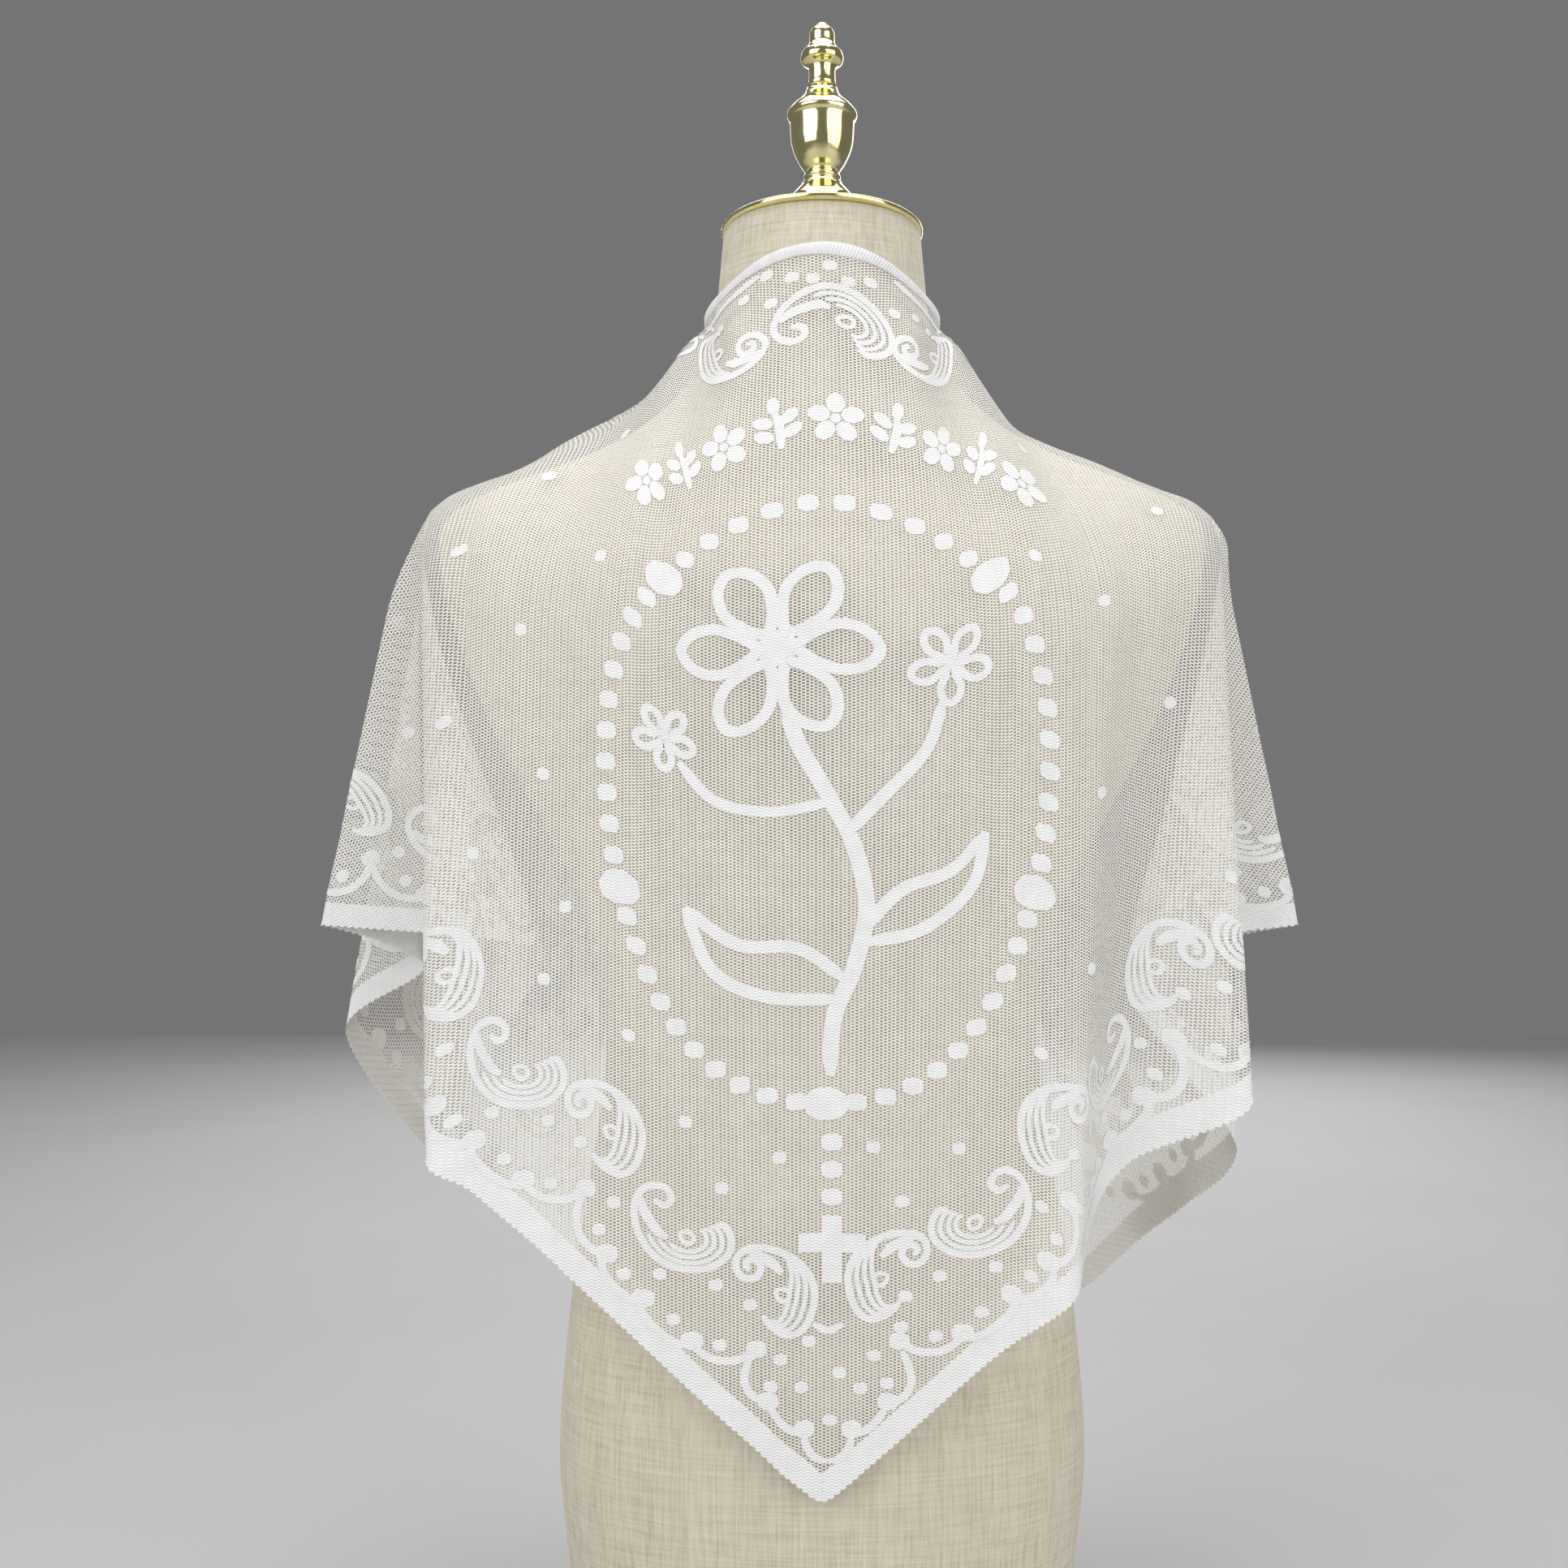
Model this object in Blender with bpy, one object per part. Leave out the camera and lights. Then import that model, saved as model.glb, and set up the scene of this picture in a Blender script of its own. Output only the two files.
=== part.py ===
"""Lace triangle shawl draped over the back of a limbless dress form with a turned brass finial.

Metres, Z up. The back of the form faces -Y and carries the deep point of the shawl, the front is at +Y,
where the two long ends hang open. The underside of the form is at Z = 0.
"""

import math

import bmesh
import bpy
import numpy as np

# Flat cut of the shawl: s runs along the long neck edge from its middle, t runs down towards the point
HALF_EDGE = 0.750
DEPTH = 0.700
NECK_RUN = 0.100
SHOULDER_S = 0.240
SHOULDER_T = 0.140
POINT_ROUND = 0.004

# Wall of the lace, and the folded hem along the neck edge
WALL = 0.0015
HEM_HALF_WIDTH = 0.0035
HEM_HALF_THICK = 0.0016
HEM_AROUND = 8
SEAM_GAP = 0.0003

# How far the middle of the whole lies from the side-to-side and front-to-back lines of the form
MIDDLE_X = -0.0070
MIDDLE_Y = 0.0120

# Neck edge of the shawl from the middle of the nape to the side of the neck
NAPE_Y = -0.0660
NAPE_Z = 0.7995
NECK_SIDE_X = 0.0675
NECK_SIDE_Z = 0.7730

# How sharply a fall line turns where it leaves the body
FALL_TURN = 0.060

# Ridge of the shawl over either shoulder, from the side of the neck to the shoulder tip: x, z
LEFT_RIDGE = [
    (NECK_SIDE_X, NECK_SIDE_Z),
    (0.0760, 0.7655),
    (0.0900, 0.7450),
    (0.1110, 0.7270),
    (0.1350, 0.7150),
    (0.1500, 0.7070),
    (0.1650, 0.6975),
    (0.1780, 0.6910),
    (0.1980, 0.6840),
    (0.2150, 0.6770),
    (0.2265, 0.6680),
]
RIGHT_RIDGE = [
    (NECK_SIDE_X, NECK_SIDE_Z),
    (0.0760, 0.7645),
    (0.0885, 0.7410),
    (0.1060, 0.7190),
    (0.1350, 0.7045),
    (0.1650, 0.6925),
    (0.1950, 0.6806),
    (0.2140, 0.6735),
    (0.2250, 0.6650),
]

# One row per fold of a side, from the middle of the back round to the front end.
# head: -1 middle of the nape, 0 side of the neck, 1 shoulder tip. s: flat place of its lower end on the
# cut edge. over: where the fall line passes over the shoulder. leave: where it leaves the body. low: its
# lower end. steps: how many strips lead to the row from the one before.
LEFT_FOLDS = [
    # name, head, s, over (x, y, z), leave (x, y, z), low (x, y, z), steps
    ("middle", -1.0, 0.0, (0.0, -0.069, 0.768), (0.0, -0.1, 0.645), (0.0, -0.106, 0.128), 0),
    ("spine", -0.5, 0.055, (0.046, -0.062, 0.763), (0.055, -0.1035, 0.64), (0.055, -0.109, 0.178), 3),
    ("neck side", 0.0, 0.105, (0.07, -0.035, 0.761), (0.102, -0.102, 0.636), (0.105, -0.107, 0.224), 3),
    ("blade", 0.4, 0.15, (0.115, -0.036, 0.711), (0.15, -0.086, 0.636), (0.15, -0.101, 0.264), 3),
    ("arm edge", 0.8, 0.185, (0.192, -0.03, 0.678), (0.195, -0.068, 0.632), (0.187, -0.093, 0.293), 3),
    ("back roll", 1.0, 0.208, (0.2275, -0.016, 0.654), (0.224, -0.04, 0.618), (0.213, -0.083, 0.308), 2),
    ("inner tuck", 1.0, 0.349, (0.232, 0.0, 0.645), (0.22, -0.006, 0.585), (0.158, -0.006, 0.413), 5),
    ("outer flare", 1.0, 0.446, (0.2365, 0.004, 0.652), (0.25, 0.004, 0.622), (0.293, 0.012, 0.428), 5),
    ("dip", 1.0, 0.496, (0.2335, 0.01, 0.647), (0.237, 0.016, 0.61), (0.236, 0.03, 0.4025), 4),
    ("front flare", 1.0, 0.546, (0.231, 0.016, 0.652), (0.239, 0.028, 0.616), (0.287, 0.05, 0.361), 4),
    ("front roll", 0.8, 0.62, (0.192, 0.03, 0.678), (0.212, 0.07, 0.6), (0.238, 0.092, 0.275), 2),
    ("front panel", 0.4, 0.685, (0.118, 0.038, 0.709), (0.15, 0.102, 0.59), (0.2, 0.128, 0.232), 3),
    ("front end", 0.0, 0.75, (0.07, 0.034, 0.761), (0.122, 0.124, 0.56), (0.155, 0.132, 0.183), 3),
]
RIGHT_FOLDS = [
    ("middle", -1.0, 0.0, (0.0, -0.069, 0.768), (0.0, -0.1, 0.645), (0.0, -0.106, 0.128), 0),
    ("spine", -0.5, 0.05, (0.046, -0.062, 0.763), (0.055, -0.1035, 0.64), (0.05, -0.109, 0.173), 3),
    ("neck side", 0.0, 0.095, (0.07, -0.035, 0.761), (0.102, -0.102, 0.636), (0.095, -0.1085, 0.212), 3),
    ("blade", 0.4, 0.137, (0.114, -0.036, 0.706), (0.15, -0.086, 0.636), (0.1345, -0.105, 0.24), 3),
    ("soft valley", 0.6, 0.178, (0.156, -0.034, 0.6905), (0.174, -0.078, 0.634), (0.147, -0.072, 0.275), 3),
    ("arm edge", 0.8, 0.206, (0.191, -0.03, 0.6745), (0.197, -0.067, 0.632), (0.169, -0.06, 0.303), 2),
    ("back roll", 1.0, 0.259, (0.2275, -0.016, 0.654), (0.224, -0.04, 0.618), (0.238, -0.05, 0.3355), 3),
    ("inner tuck", 1.0, 0.338, (0.232, 0.0, 0.645), (0.221, -0.006, 0.585), (0.175, 0.002, 0.41), 4),
    ("outer flare", 1.0, 0.408, (0.2355, 0.004, 0.652), (0.237, 0.006, 0.622), (0.279, 0.014, 0.428), 4),
    ("dip", 1.0, 0.5, (0.2325, 0.01, 0.647), (0.229, 0.02, 0.605), (0.182, 0.052, 0.392), 4),
    ("front flare", 1.0, 0.61, (0.23, 0.016, 0.652), (0.229, 0.036, 0.612), (0.253, 0.066, 0.287), 4),
    ("front roll", 0.8, 0.65, (0.192, 0.03, 0.678), (0.208, 0.071, 0.6), (0.2285, 0.093, 0.25), 2),
    ("soft roll", 0.6, 0.675, (0.156, 0.035, 0.692), (0.18, 0.088, 0.595), (0.2145, 0.112, 0.233), 2),
    ("front panel", 0.4, 0.7, (0.118, 0.038, 0.709), (0.15, 0.102, 0.59), (0.198, 0.126, 0.215), 3),
    ("front end", 0.0, 0.75, (0.07, 0.034, 0.761), (0.122, 0.124, 0.56), (0.159, 0.132, 0.175), 3),
]
# Rows of the wall down a fall line, as shares of its length
DOWN = [0.0, 0.035, 0.075, 0.12, 0.17, 0.225, 0.29, 0.36, 0.45, 0.55, 0.66, 0.77, 0.885, 1.0]

# Torso of the form, one row per level: z, half width, depth behind the side line, depth before it,
# lean, fullness
TORSO = [
    (0.0000, 0.1300, 0.0800, 0.0820, 0.0, 2.15),
    (0.0060, 0.1370, 0.0865, 0.0885, 0.0, 2.15),
    (0.0250, 0.1420, 0.0915, 0.0935, 0.0, 2.15),
    (0.0700, 0.1460, 0.0955, 0.0970, 0.0, 2.15),
    (0.1270, 0.1510, 0.0975, 0.0990, 0.0, 2.15),
    (0.2100, 0.1450, 0.0920, 0.0950, 0.0, 2.15),
    (0.2900, 0.1330, 0.0790, 0.0880, 0.0, 2.15),
    (0.3580, 0.1245, 0.0690, 0.0840, 0.0, 2.15),
    (0.4100, 0.1280, 0.0700, 0.0880, 0.0, 2.15),
    (0.4450, 0.1400, 0.0740, 0.0970, 0.0, 2.15),
    (0.4850, 0.1600, 0.0810, 0.1090, 0.0, 2.15),
    (0.5400, 0.1890, 0.0885, 0.1160, 0.0, 2.15),
    (0.5900, 0.2090, 0.0930, 0.1080, 0.0, 2.15),
    (0.6250, 0.2185, 0.0915, 0.0930, 0.0, 2.10),
    (0.6520, 0.2210, 0.0830, 0.0760, 0.0, 2.05),
    (0.6645, 0.2150, 0.0760, 0.0660, 0.0, 2.0),
    (0.6748, 0.1990, 0.0710, 0.0580, 0.0, 2.0),
    (0.6858, 0.1710, 0.0670, 0.0530, 0.0, 2.0),
    (0.6988, 0.1360, 0.0640, 0.0500, 0.0, 2.0),
    (0.7128, 0.1080, 0.0620, 0.0490, 1.0, 2.0),
    (0.7308, 0.0858, 0.0610, 0.0490, 2.0, 2.0),
    (0.7515, 0.0710, 0.0612, 0.0490, 3.5, 2.0),
    (0.7750, 0.0622, 0.0603, 0.0495, 5.0, 2.0),
    (0.8030, 0.0590, 0.0581, 0.0500, 6.5, 2.0),
    (0.8260, 0.0570, 0.0556, 0.0515, 6.5, 2.0),
]
AROUND = 44

# Neck cap and finial, which lean forward with the top of the neck
LEAN = 6.5
CAP_Z = 0.8266
CAP_Y = -0.0010
CAP = [(0.0, 0.0), (0.057, 0.0), (0.0582, 0.0009), (0.0582, 0.0026), (0.057, 0.0036), (0.0, 0.0042)]
FOOT = [
    (0.0, 0.0046), (0.0235, 0.0046), (0.024, 0.0065), (0.0215, 0.009), (0.019, 0.0105), (0.0196, 0.0145),
    (0.0206, 0.018), (0.0185, 0.0225), (0.0148, 0.027), (0.0124, 0.0298), (0.0115, 0.0318), (0.0098, 0.0333),
    (0.0109, 0.035), (0.0104, 0.0366), (0.0, 0.0366),
]
URN = [
    (0.0, 0.0369), (0.0092, 0.0369), (0.0107, 0.0399), (0.0128, 0.043), (0.0146, 0.0464), (0.0166, 0.051),
    (0.0179, 0.056), (0.0184, 0.0615), (0.0187, 0.0692), (0.0197, 0.0707), (0.0205, 0.0725), (0.0203, 0.074),
    (0.0172, 0.0781), (0.013, 0.0818), (0.01, 0.0855), (0.0089, 0.0892), (0.0, 0.0892),
]
KNOB = [
    (0.0, 0.0895), (0.0085, 0.0895), (0.0078, 0.094), (0.0076, 0.099), (0.0079, 0.1022), (0.0092, 0.1037),
    (0.0119, 0.1052), (0.0126, 0.1076), (0.0119, 0.111), (0.0094, 0.1134), (0.0079, 0.1158), (0.0073, 0.117),
    (0.0073, 0.123), (0.006, 0.1259), (0.0036, 0.1268), (0.003, 0.1288), (0.0, 0.1296),
]
TURNED = 28


def smooth_through(knots, values, at):
    """Values at the places asked for, on a smooth curve through the knots that never swings past them."""
    knots, values, at = (np.asarray(a, float) for a in (knots, values, at))
    gap = np.diff(knots)[:, None]
    rise = np.diff(values, axis=0) / gap
    slope = np.zeros_like(values)
    same = rise[:-1] * rise[1:] > 0
    w1, w2 = 2 * gap[1:] + gap[:-1], gap[1:] + 2 * gap[:-1]
    safe_a, safe_b = np.where(same, rise[:-1], 1.0), np.where(same, rise[1:], 1.0)
    slope[1:-1] = np.where(same, (w1 + w2) / (w1 / safe_a + w2 / safe_b), 0.0)
    slope[0], slope[-1] = rise[0], rise[-1]
    i = np.clip(np.searchsorted(knots, at, side="right") - 1, 0, len(knots) - 2)
    g = gap[i]
    f = ((at - knots[i]) / g[:, 0])[:, None]
    return (
        values[i] * (1 + 2 * f) * (1 - f) ** 2
        + slope[i] * g * f * (1 - f) ** 2
        + values[i + 1] * f * f * (3 - 2 * f)
        + slope[i + 1] * g * f * f * (f - 1)
    )


def head_place(head, ridge):
    """Where fall lines start: round the nape up to head 0, then out along the shoulder ridge."""
    turn = (1 + np.clip(head, -1, 0)) * math.pi / 2
    nape = np.stack([NECK_SIDE_X * np.sin(turn), NAPE_Y * np.cos(turn),
                     NECK_SIDE_Z + (NAPE_Z - NECK_SIDE_Z) * np.cos(turn)**2], 1)
    run = np.r_[0, np.cumsum(np.hypot(*np.diff(ridge, axis=0).T))]
    xz = smooth_through(run / run[-1], ridge, np.clip(head, 0, 1))
    out = np.stack([xz[:, 0], np.zeros(len(xz)), xz[:, 1]], 1)
    return np.where((head < 0)[:, None], nape, out)


def head_flat(head):
    """The flat place of the same points."""
    on_edge = np.stack([NECK_RUN * (1 + np.clip(head, -1, 0)), np.zeros(len(head))], 1)
    share = np.clip(head, 0, 1)[:, None]
    on_ridge = (1 - share) * np.array([NECK_RUN, 0.0]) + share * np.array([SHOULDER_S, SHOULDER_T])
    return np.where((head < 0)[:, None], on_edge, on_ridge)


def turned_path(points, turns, samples):
    """Points along lines through the given corners, each corner rounded over the given length."""
    a, b, c, d = points
    path = [a[None]]
    for before, corner, after, turn in ((a, b, c, turns[0]), (b, c, d, turns[1])):
        back, on = before - corner, after - corner
        long_back = np.linalg.norm(back, axis=1, keepdims=True)
        long_on = np.linalg.norm(on, axis=1, keepdims=True)
        cut = np.minimum(turn, 0.48 * np.minimum(long_back, long_on))
        start, end = corner + back / long_back * cut, corner + on / long_on * cut
        for f in np.linspace(0, 1, samples):
            path.append(((1 - f) ** 2 * start + 2 * f * (1 - f) * corner + f * f * end)[None])
    path.append(d[None])
    return np.concatenate(path)


def drape(folds, ridge, finer, down):
    """One side of the shawl: places in space and on the flat cut, by strip and by row down the fall line."""
    head, low_s = (np.array([row[i] for row in folds]) for i in (1, 2))
    over, leave, low = (np.array([row[i] for row in folds], float) for i in (3, 4, 5))
    steps = [row[6] * finer for row in folds[1:]]
    u = np.concatenate([[0.0]] + [k + np.arange(1, n + 1) / n for k, n in enumerate(steps)])
    knots = np.arange(len(folds), dtype=float)
    heads = np.interp(u, knots, head)
    over_u, leave_u, low_u = (smooth_through(knots, v, u) for v in (over, leave, low))
    fine = np.linspace(0, len(folds) - 1, 40 * (len(folds) - 1) + 1)
    edge = smooth_through(knots, low, fine)
    run = np.r_[0, np.cumsum(np.linalg.norm(np.diff(edge, axis=0), axis=1))]
    s_low = np.interp(np.interp(u, fine, run), run[::40], low_s)
    start = head_place(heads, np.array(ridge))
    path = turned_path((start, over_u, leave_u, low_u), (0.03, FALL_TURN), 9 * finer)
    pieces = np.linalg.norm(np.diff(path, axis=0), axis=2)
    along = np.concatenate([np.zeros((1, len(u))), np.cumsum(pieces, axis=0)])
    flat_start = head_flat(heads)
    flat_low = np.stack([s_low, DEPTH * (1 - s_low / HALF_EDGE)], 1)
    rounded = np.sqrt(s_low**2 + POINT_ROUND**2) - s_low
    end = 1 - rounded * DEPTH / HALF_EDGE / np.maximum(flat_low[:, 1] - flat_start[:, 1], 0.02)
    end = np.where(s_low < 0.10, end, 1.0)
    from_end = (HALF_EDGE - s_low) / 0.012
    end = end - 0.012 * np.exp(-from_end**2)
    place = np.empty((len(u), len(down), 3))
    flat = np.empty((len(u), len(down), 2))
    for k in range(len(u)):
        share = np.array(down) * end[k]
        for axis in range(3):
            place[k, :, axis] = np.interp(share * along[-1, k], along[:, k], path[:, k, axis])
        flat[k] = flat_start[k] + share[:, None] * (flat_low[k] - flat_start[k])
    return place, flat


def both_sides(finer, down):
    """The whole shawl as a grid of strips, from the left front end over the back to the right front end."""
    left, left_flat = drape(LEFT_FOLDS, LEFT_RIDGE, finer, down)
    right, right_flat = drape(RIGHT_FOLDS, RIGHT_RIDGE, finer, down)
    left[..., 0] *= -1
    left_flat[..., 0] *= -1
    place = np.concatenate([left[::-1], right[1:]])
    flat = np.concatenate([left_flat[::-1], right_flat[1:]])
    return place, flat


def welded(place):
    """The grid as points and three-cornered faces, with points that share a place made one."""
    n, m = place.shape[:2]
    flat_points = place.reshape(-1, 3)
    keys, index = np.unique(np.round(flat_points, 7), axis=0, return_inverse=True)
    index = index.reshape(-1)
    points = np.zeros_like(keys)
    points[index] = flat_points
    number = index.reshape(n, m)
    faces = []
    for i in range(n - 1):
        for j in range(m - 1):
            a, b, c, d = number[i, j], number[i + 1, j], number[i + 1, j + 1], number[i, j + 1]
            # Every square is split along its shorter diagonal
            if np.linalg.norm(points[a] - points[c]) <= np.linalg.norm(points[b] - points[d]):
                halves = ((a, b, c), (a, c, d))
            else:
                halves = ((a, b, d), (b, c, d))
            faces += [f for f in halves if len(set(f)) == 3]
    return points, np.array(faces), number


def point_normals(points, faces):
    a, b, c = points[faces[:, 0]], points[faces[:, 1]], points[faces[:, 2]]
    cross = np.cross(b - a, c - a)
    unit = cross / np.maximum(np.linalg.norm(cross, axis=1, keepdims=True), 1e-12)
    total = np.zeros_like(points)
    for corner, (p, q, r) in enumerate(((a, b, c), (b, c, a), (c, a, b))):
        one, two = q - p, r - p
        size = np.linalg.norm(one, axis=1) * np.linalg.norm(two, axis=1)
        cosine = (one * two).sum(1) / np.maximum(size, 1e-12)
        np.add.at(total, faces[:, corner], unit * np.arccos(np.clip(cosine, -1, 1))[:, None])
    return total / np.maximum(np.linalg.norm(total, axis=1, keepdims=True), 1e-12)


def walled(points, faces, thick):
    """A closed wall of the given thickness with the faces at its middle."""
    normal = point_normals(points, faces)
    count = len(points)
    both = np.concatenate([points + normal * thick / 2, points - normal * thick / 2])
    uses = {}
    for f in faces:
        for p, q in ((f[0], f[1]), (f[1], f[2]), (f[2], f[0])):
            uses[(p, q)] = True
    out = [tuple(f) for f in faces] + [(f[0] + count, f[2] + count, f[1] + count) for f in faces]
    for p, q in uses:
        if (q, p) not in uses:
            out += [(q, p, p + count), (q, p + count, q + count)]
    return both, out


def material(name, colour, rough, metal):
    mat = bpy.data.materials.new(name)
    mat.use_nodes = True
    bsdf = mat.node_tree.nodes["Principled BSDF"]
    bsdf.inputs["Base Color"].default_value = (*colour, 1.0)
    bsdf.inputs["Roughness"].default_value = rough
    bsdf.inputs["Metallic"].default_value = metal
    return mat


def add(name, points, faces, mat, smooth=True):
    mesh = bpy.data.meshes.new(name)
    mesh.from_pydata([tuple(map(float, p)) for p in points], [], [tuple(map(int, f)) for f in faces])
    mesh.validate()
    obj = bpy.data.objects.new(name, mesh)
    bpy.context.scene.collection.objects.link(obj)
    mesh.materials.append(mat)
    for polygon in mesh.polygons:
        polygon.use_smooth = smooth
    return obj


def rings_to_solid(rings):
    """Rings of equal count, closed by a fan at either end."""
    count = len(rings[0])
    points = np.concatenate(rings + [rings[0].mean(0, keepdims=True), rings[-1].mean(0, keepdims=True)])
    faces = []
    for k in range(len(rings) - 1):
        for i in range(count):
            a, b = k * count + i, k * count + (i + 1) % count
            faces += [(a, b, b + count), (a, b + count, a + count)]
    last, low, high = (len(rings) - 1) * count, len(rings) * count, len(rings) * count + 1
    for i in range(count):
        j = (i + 1) % count
        faces += [(low, j, i), (high, last + i, last + j)]
    return points, faces


def torso():
    turn = np.arange(AROUND) / AROUND * 2 * math.pi
    rings = []
    for z, half, behind, before, lean, full in TORSO:
        c, s = np.cos(turn), np.sin(turn)
        x = half * np.sign(c) * np.abs(c) ** (2 / full)
        y = np.where(s < 0, behind, before) * np.sign(s) * np.abs(s) ** (2 / full)
        rings.append(np.stack([x, y, z - y * math.tan(math.radians(lean))], 1))
    return rings_to_solid(rings)


def lathed(profile):
    """A turned piece about the leaning axis of the neck cap."""
    turn = np.arange(TURNED) / TURNED * 2 * math.pi
    lean = math.radians(LEAN)
    axis = np.array([0.0, math.sin(lean), math.cos(lean)])
    side = np.array([0.0, math.cos(lean), -math.sin(lean)])
    base = np.array([0.0, CAP_Y, CAP_Z])
    rings = []
    for radius, height in profile:
        if radius:
            rings.append(base + axis * height + radius * (np.cos(turn)[:, None] * np.array([1.0, 0.0, 0.0])
                                                          + np.sin(turn)[:, None] * side))
    points, faces = rings_to_solid(rings)
    points[-2], points[-1] = base + axis * profile[0][1], base + axis * profile[-1][1]
    return points, faces


def edge_of_panel(number):
    """The long edge of the panel in order, from the left front end round the nape to the right front end."""
    left = [row[1] for row in LEFT_FOLDS]
    strips = sum(row[6] for row in LEFT_FOLDS)
    nape_left = sum(row[6] for row in LEFT_FOLDS[: left.index(0.0) + 1])
    right = [row[1] for row in RIGHT_FOLDS]
    nape_right = sum(row[6] for row in RIGHT_FOLDS[: right.index(0.0) + 1])
    down_left = [(0, j) for j in range(number.shape[1] - 1, 0, -1)]
    nape = [(i, 0) for i in range(strips - nape_left, strips + nape_right + 1)]
    down_right = [(number.shape[0] - 1, j) for j in range(1, number.shape[1])]
    return down_left + nape + down_right


def neck_hem(place, number, normal):
    """A flattened roll just beyond the long edge of the panel, with the same bends."""
    cells = edge_of_panel(number)
    last = place.shape[0] - 1
    line = np.array([place[c] for c in cells])
    up = np.array([normal[number[c]] for c in cells])
    out = []
    for i, j in cells:
        inner = (1, j) if i == 0 else (last - 1, j) if i == last else (i, 1)
        out.append(place[i, j] - place[inner])
    out = np.array(out)
    along = np.gradient(line, axis=0)
    along /= np.linalg.norm(along, axis=1, keepdims=True)
    out -= along * (out * along).sum(1, keepdims=True)
    out /= np.linalg.norm(out, axis=1, keepdims=True)
    for _ in range(2):
        out[1:-1] = out[:-2] + 2 * out[1:-1] + out[2:]
        out /= np.linalg.norm(out, axis=1, keepdims=True)
    up = up - along * (up * along).sum(1, keepdims=True) - out * (up * out).sum(1, keepdims=True)
    up /= np.linalg.norm(up, axis=1, keepdims=True)
    middle = line + out * (SEAM_GAP + HEM_HALF_WIDTH)
    turn = np.arange(HEM_AROUND) / HEM_AROUND * 2 * math.pi
    rings = [m + HEM_HALF_WIDTH * np.cos(turn)[:, None] * o + HEM_HALF_THICK * np.sin(turn)[:, None] * n
             for m, o, n in zip(middle, out, up)]
    return rings_to_solid(rings)


for old in list(bpy.data.objects):
    bpy.data.objects.remove(old)

linen = material("linen", (0.66, 0.60, 0.50), 0.85, 0.0)
lace = material("lace", (0.90, 0.90, 0.89), 0.75, 0.0)
hem_cloth = material("hem_cloth", (0.92, 0.92, 0.91), 0.75, 0.0)
brass = material("brass", (0.83, 0.66, 0.24), 0.18, 1.0)

grid, _ = both_sides(1, DOWN)
mid_points, mid_faces, corner = welded(grid)
mid_normal = point_normals(mid_points, mid_faces)
parts = [
    add("lace_panel", *walled(mid_points, mid_faces, WALL), lace),
    add("neck_edge_hem", *neck_hem(grid, corner, mid_normal), hem_cloth),
    add("form_torso", *torso(), linen),
    add("neck_cap", *lathed(CAP), brass),
    add("finial_foot", *lathed(FOOT), brass),
    add("finial_urn", *lathed(URN), brass),
    add("finial_knob", *lathed(KNOB), brass),
]

# The middle of the whole stands over the origin
for part in parts:
    for vertex in part.data.vertices:
        vertex.co.x -= MIDDLE_X
        vertex.co.y -= MIDDLE_Y
    mesh = bmesh.new()
    mesh.from_mesh(part.data)
    bmesh.ops.recalc_face_normals(mesh, faces=mesh.faces)
    mesh.to_mesh(part.data)
    mesh.free()
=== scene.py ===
import math

import bmesh
import bpy
import numpy as np
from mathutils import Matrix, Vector
from mathutils.bvhtree import BVHTree


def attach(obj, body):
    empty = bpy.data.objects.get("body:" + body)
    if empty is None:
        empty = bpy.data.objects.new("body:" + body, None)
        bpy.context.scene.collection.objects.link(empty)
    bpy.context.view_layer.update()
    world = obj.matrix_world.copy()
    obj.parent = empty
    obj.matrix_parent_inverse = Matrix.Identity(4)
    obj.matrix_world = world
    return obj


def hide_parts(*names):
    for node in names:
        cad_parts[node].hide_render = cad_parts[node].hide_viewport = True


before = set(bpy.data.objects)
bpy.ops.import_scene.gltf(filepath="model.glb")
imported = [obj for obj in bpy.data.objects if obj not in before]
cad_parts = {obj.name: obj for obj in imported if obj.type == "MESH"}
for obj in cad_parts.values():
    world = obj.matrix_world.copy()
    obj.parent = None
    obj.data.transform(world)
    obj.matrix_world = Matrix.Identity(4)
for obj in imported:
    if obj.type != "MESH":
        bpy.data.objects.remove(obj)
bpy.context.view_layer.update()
TAU = 2 * math.pi

# Flat cut of the shawl: s runs along the long neck edge from its middle, t runs down towards the point
HALF_EDGE = 0.75
DEPTH = 0.7
NECK_RUN = 0.1
SHOULDER_S = 0.24
SHOULDER_T = 0.14
POINT_ROUND = 0.004

# Folded hem along the neck edge, and its gap from the lace
HEM_HALF_WIDTH = 0.0035
HEM_HALF_THICK = 0.0016
SEAM_GAP = 0.0003

# How far the middle of the whole lies from the side-to-side and front-to-back lines of the form
MIDDLE_X = -0.007
MIDDLE_Y = 0.012

# Neck edge of the shawl from the middle of the nape to the side of the neck
NAPE_Y = -0.066
NAPE_Z = 0.7995
NECK_SIDE_X = 0.0675
NECK_SIDE_Z = 0.773

# How sharply a fall line turns where it leaves the body
FALL_TURN = 0.06

# Ridge of the shawl over either shoulder, from the side of the neck to the shoulder tip: x, z
LEFT_RIDGE = [
    (NECK_SIDE_X, NECK_SIDE_Z), (0.076, 0.7655), (0.09, 0.745), (0.111, 0.727), (0.135, 0.715),
    (0.15, 0.707), (0.165, 0.6975), (0.178, 0.691), (0.198, 0.684), (0.215, 0.677),
    (0.2265, 0.668),
]
RIGHT_RIDGE = [
    (NECK_SIDE_X, NECK_SIDE_Z), (0.076, 0.7645), (0.0885, 0.741), (0.106, 0.719), (0.135, 0.7045),
    (0.165, 0.6925), (0.195, 0.6806), (0.214, 0.6735), (0.225, 0.665),
]

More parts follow.
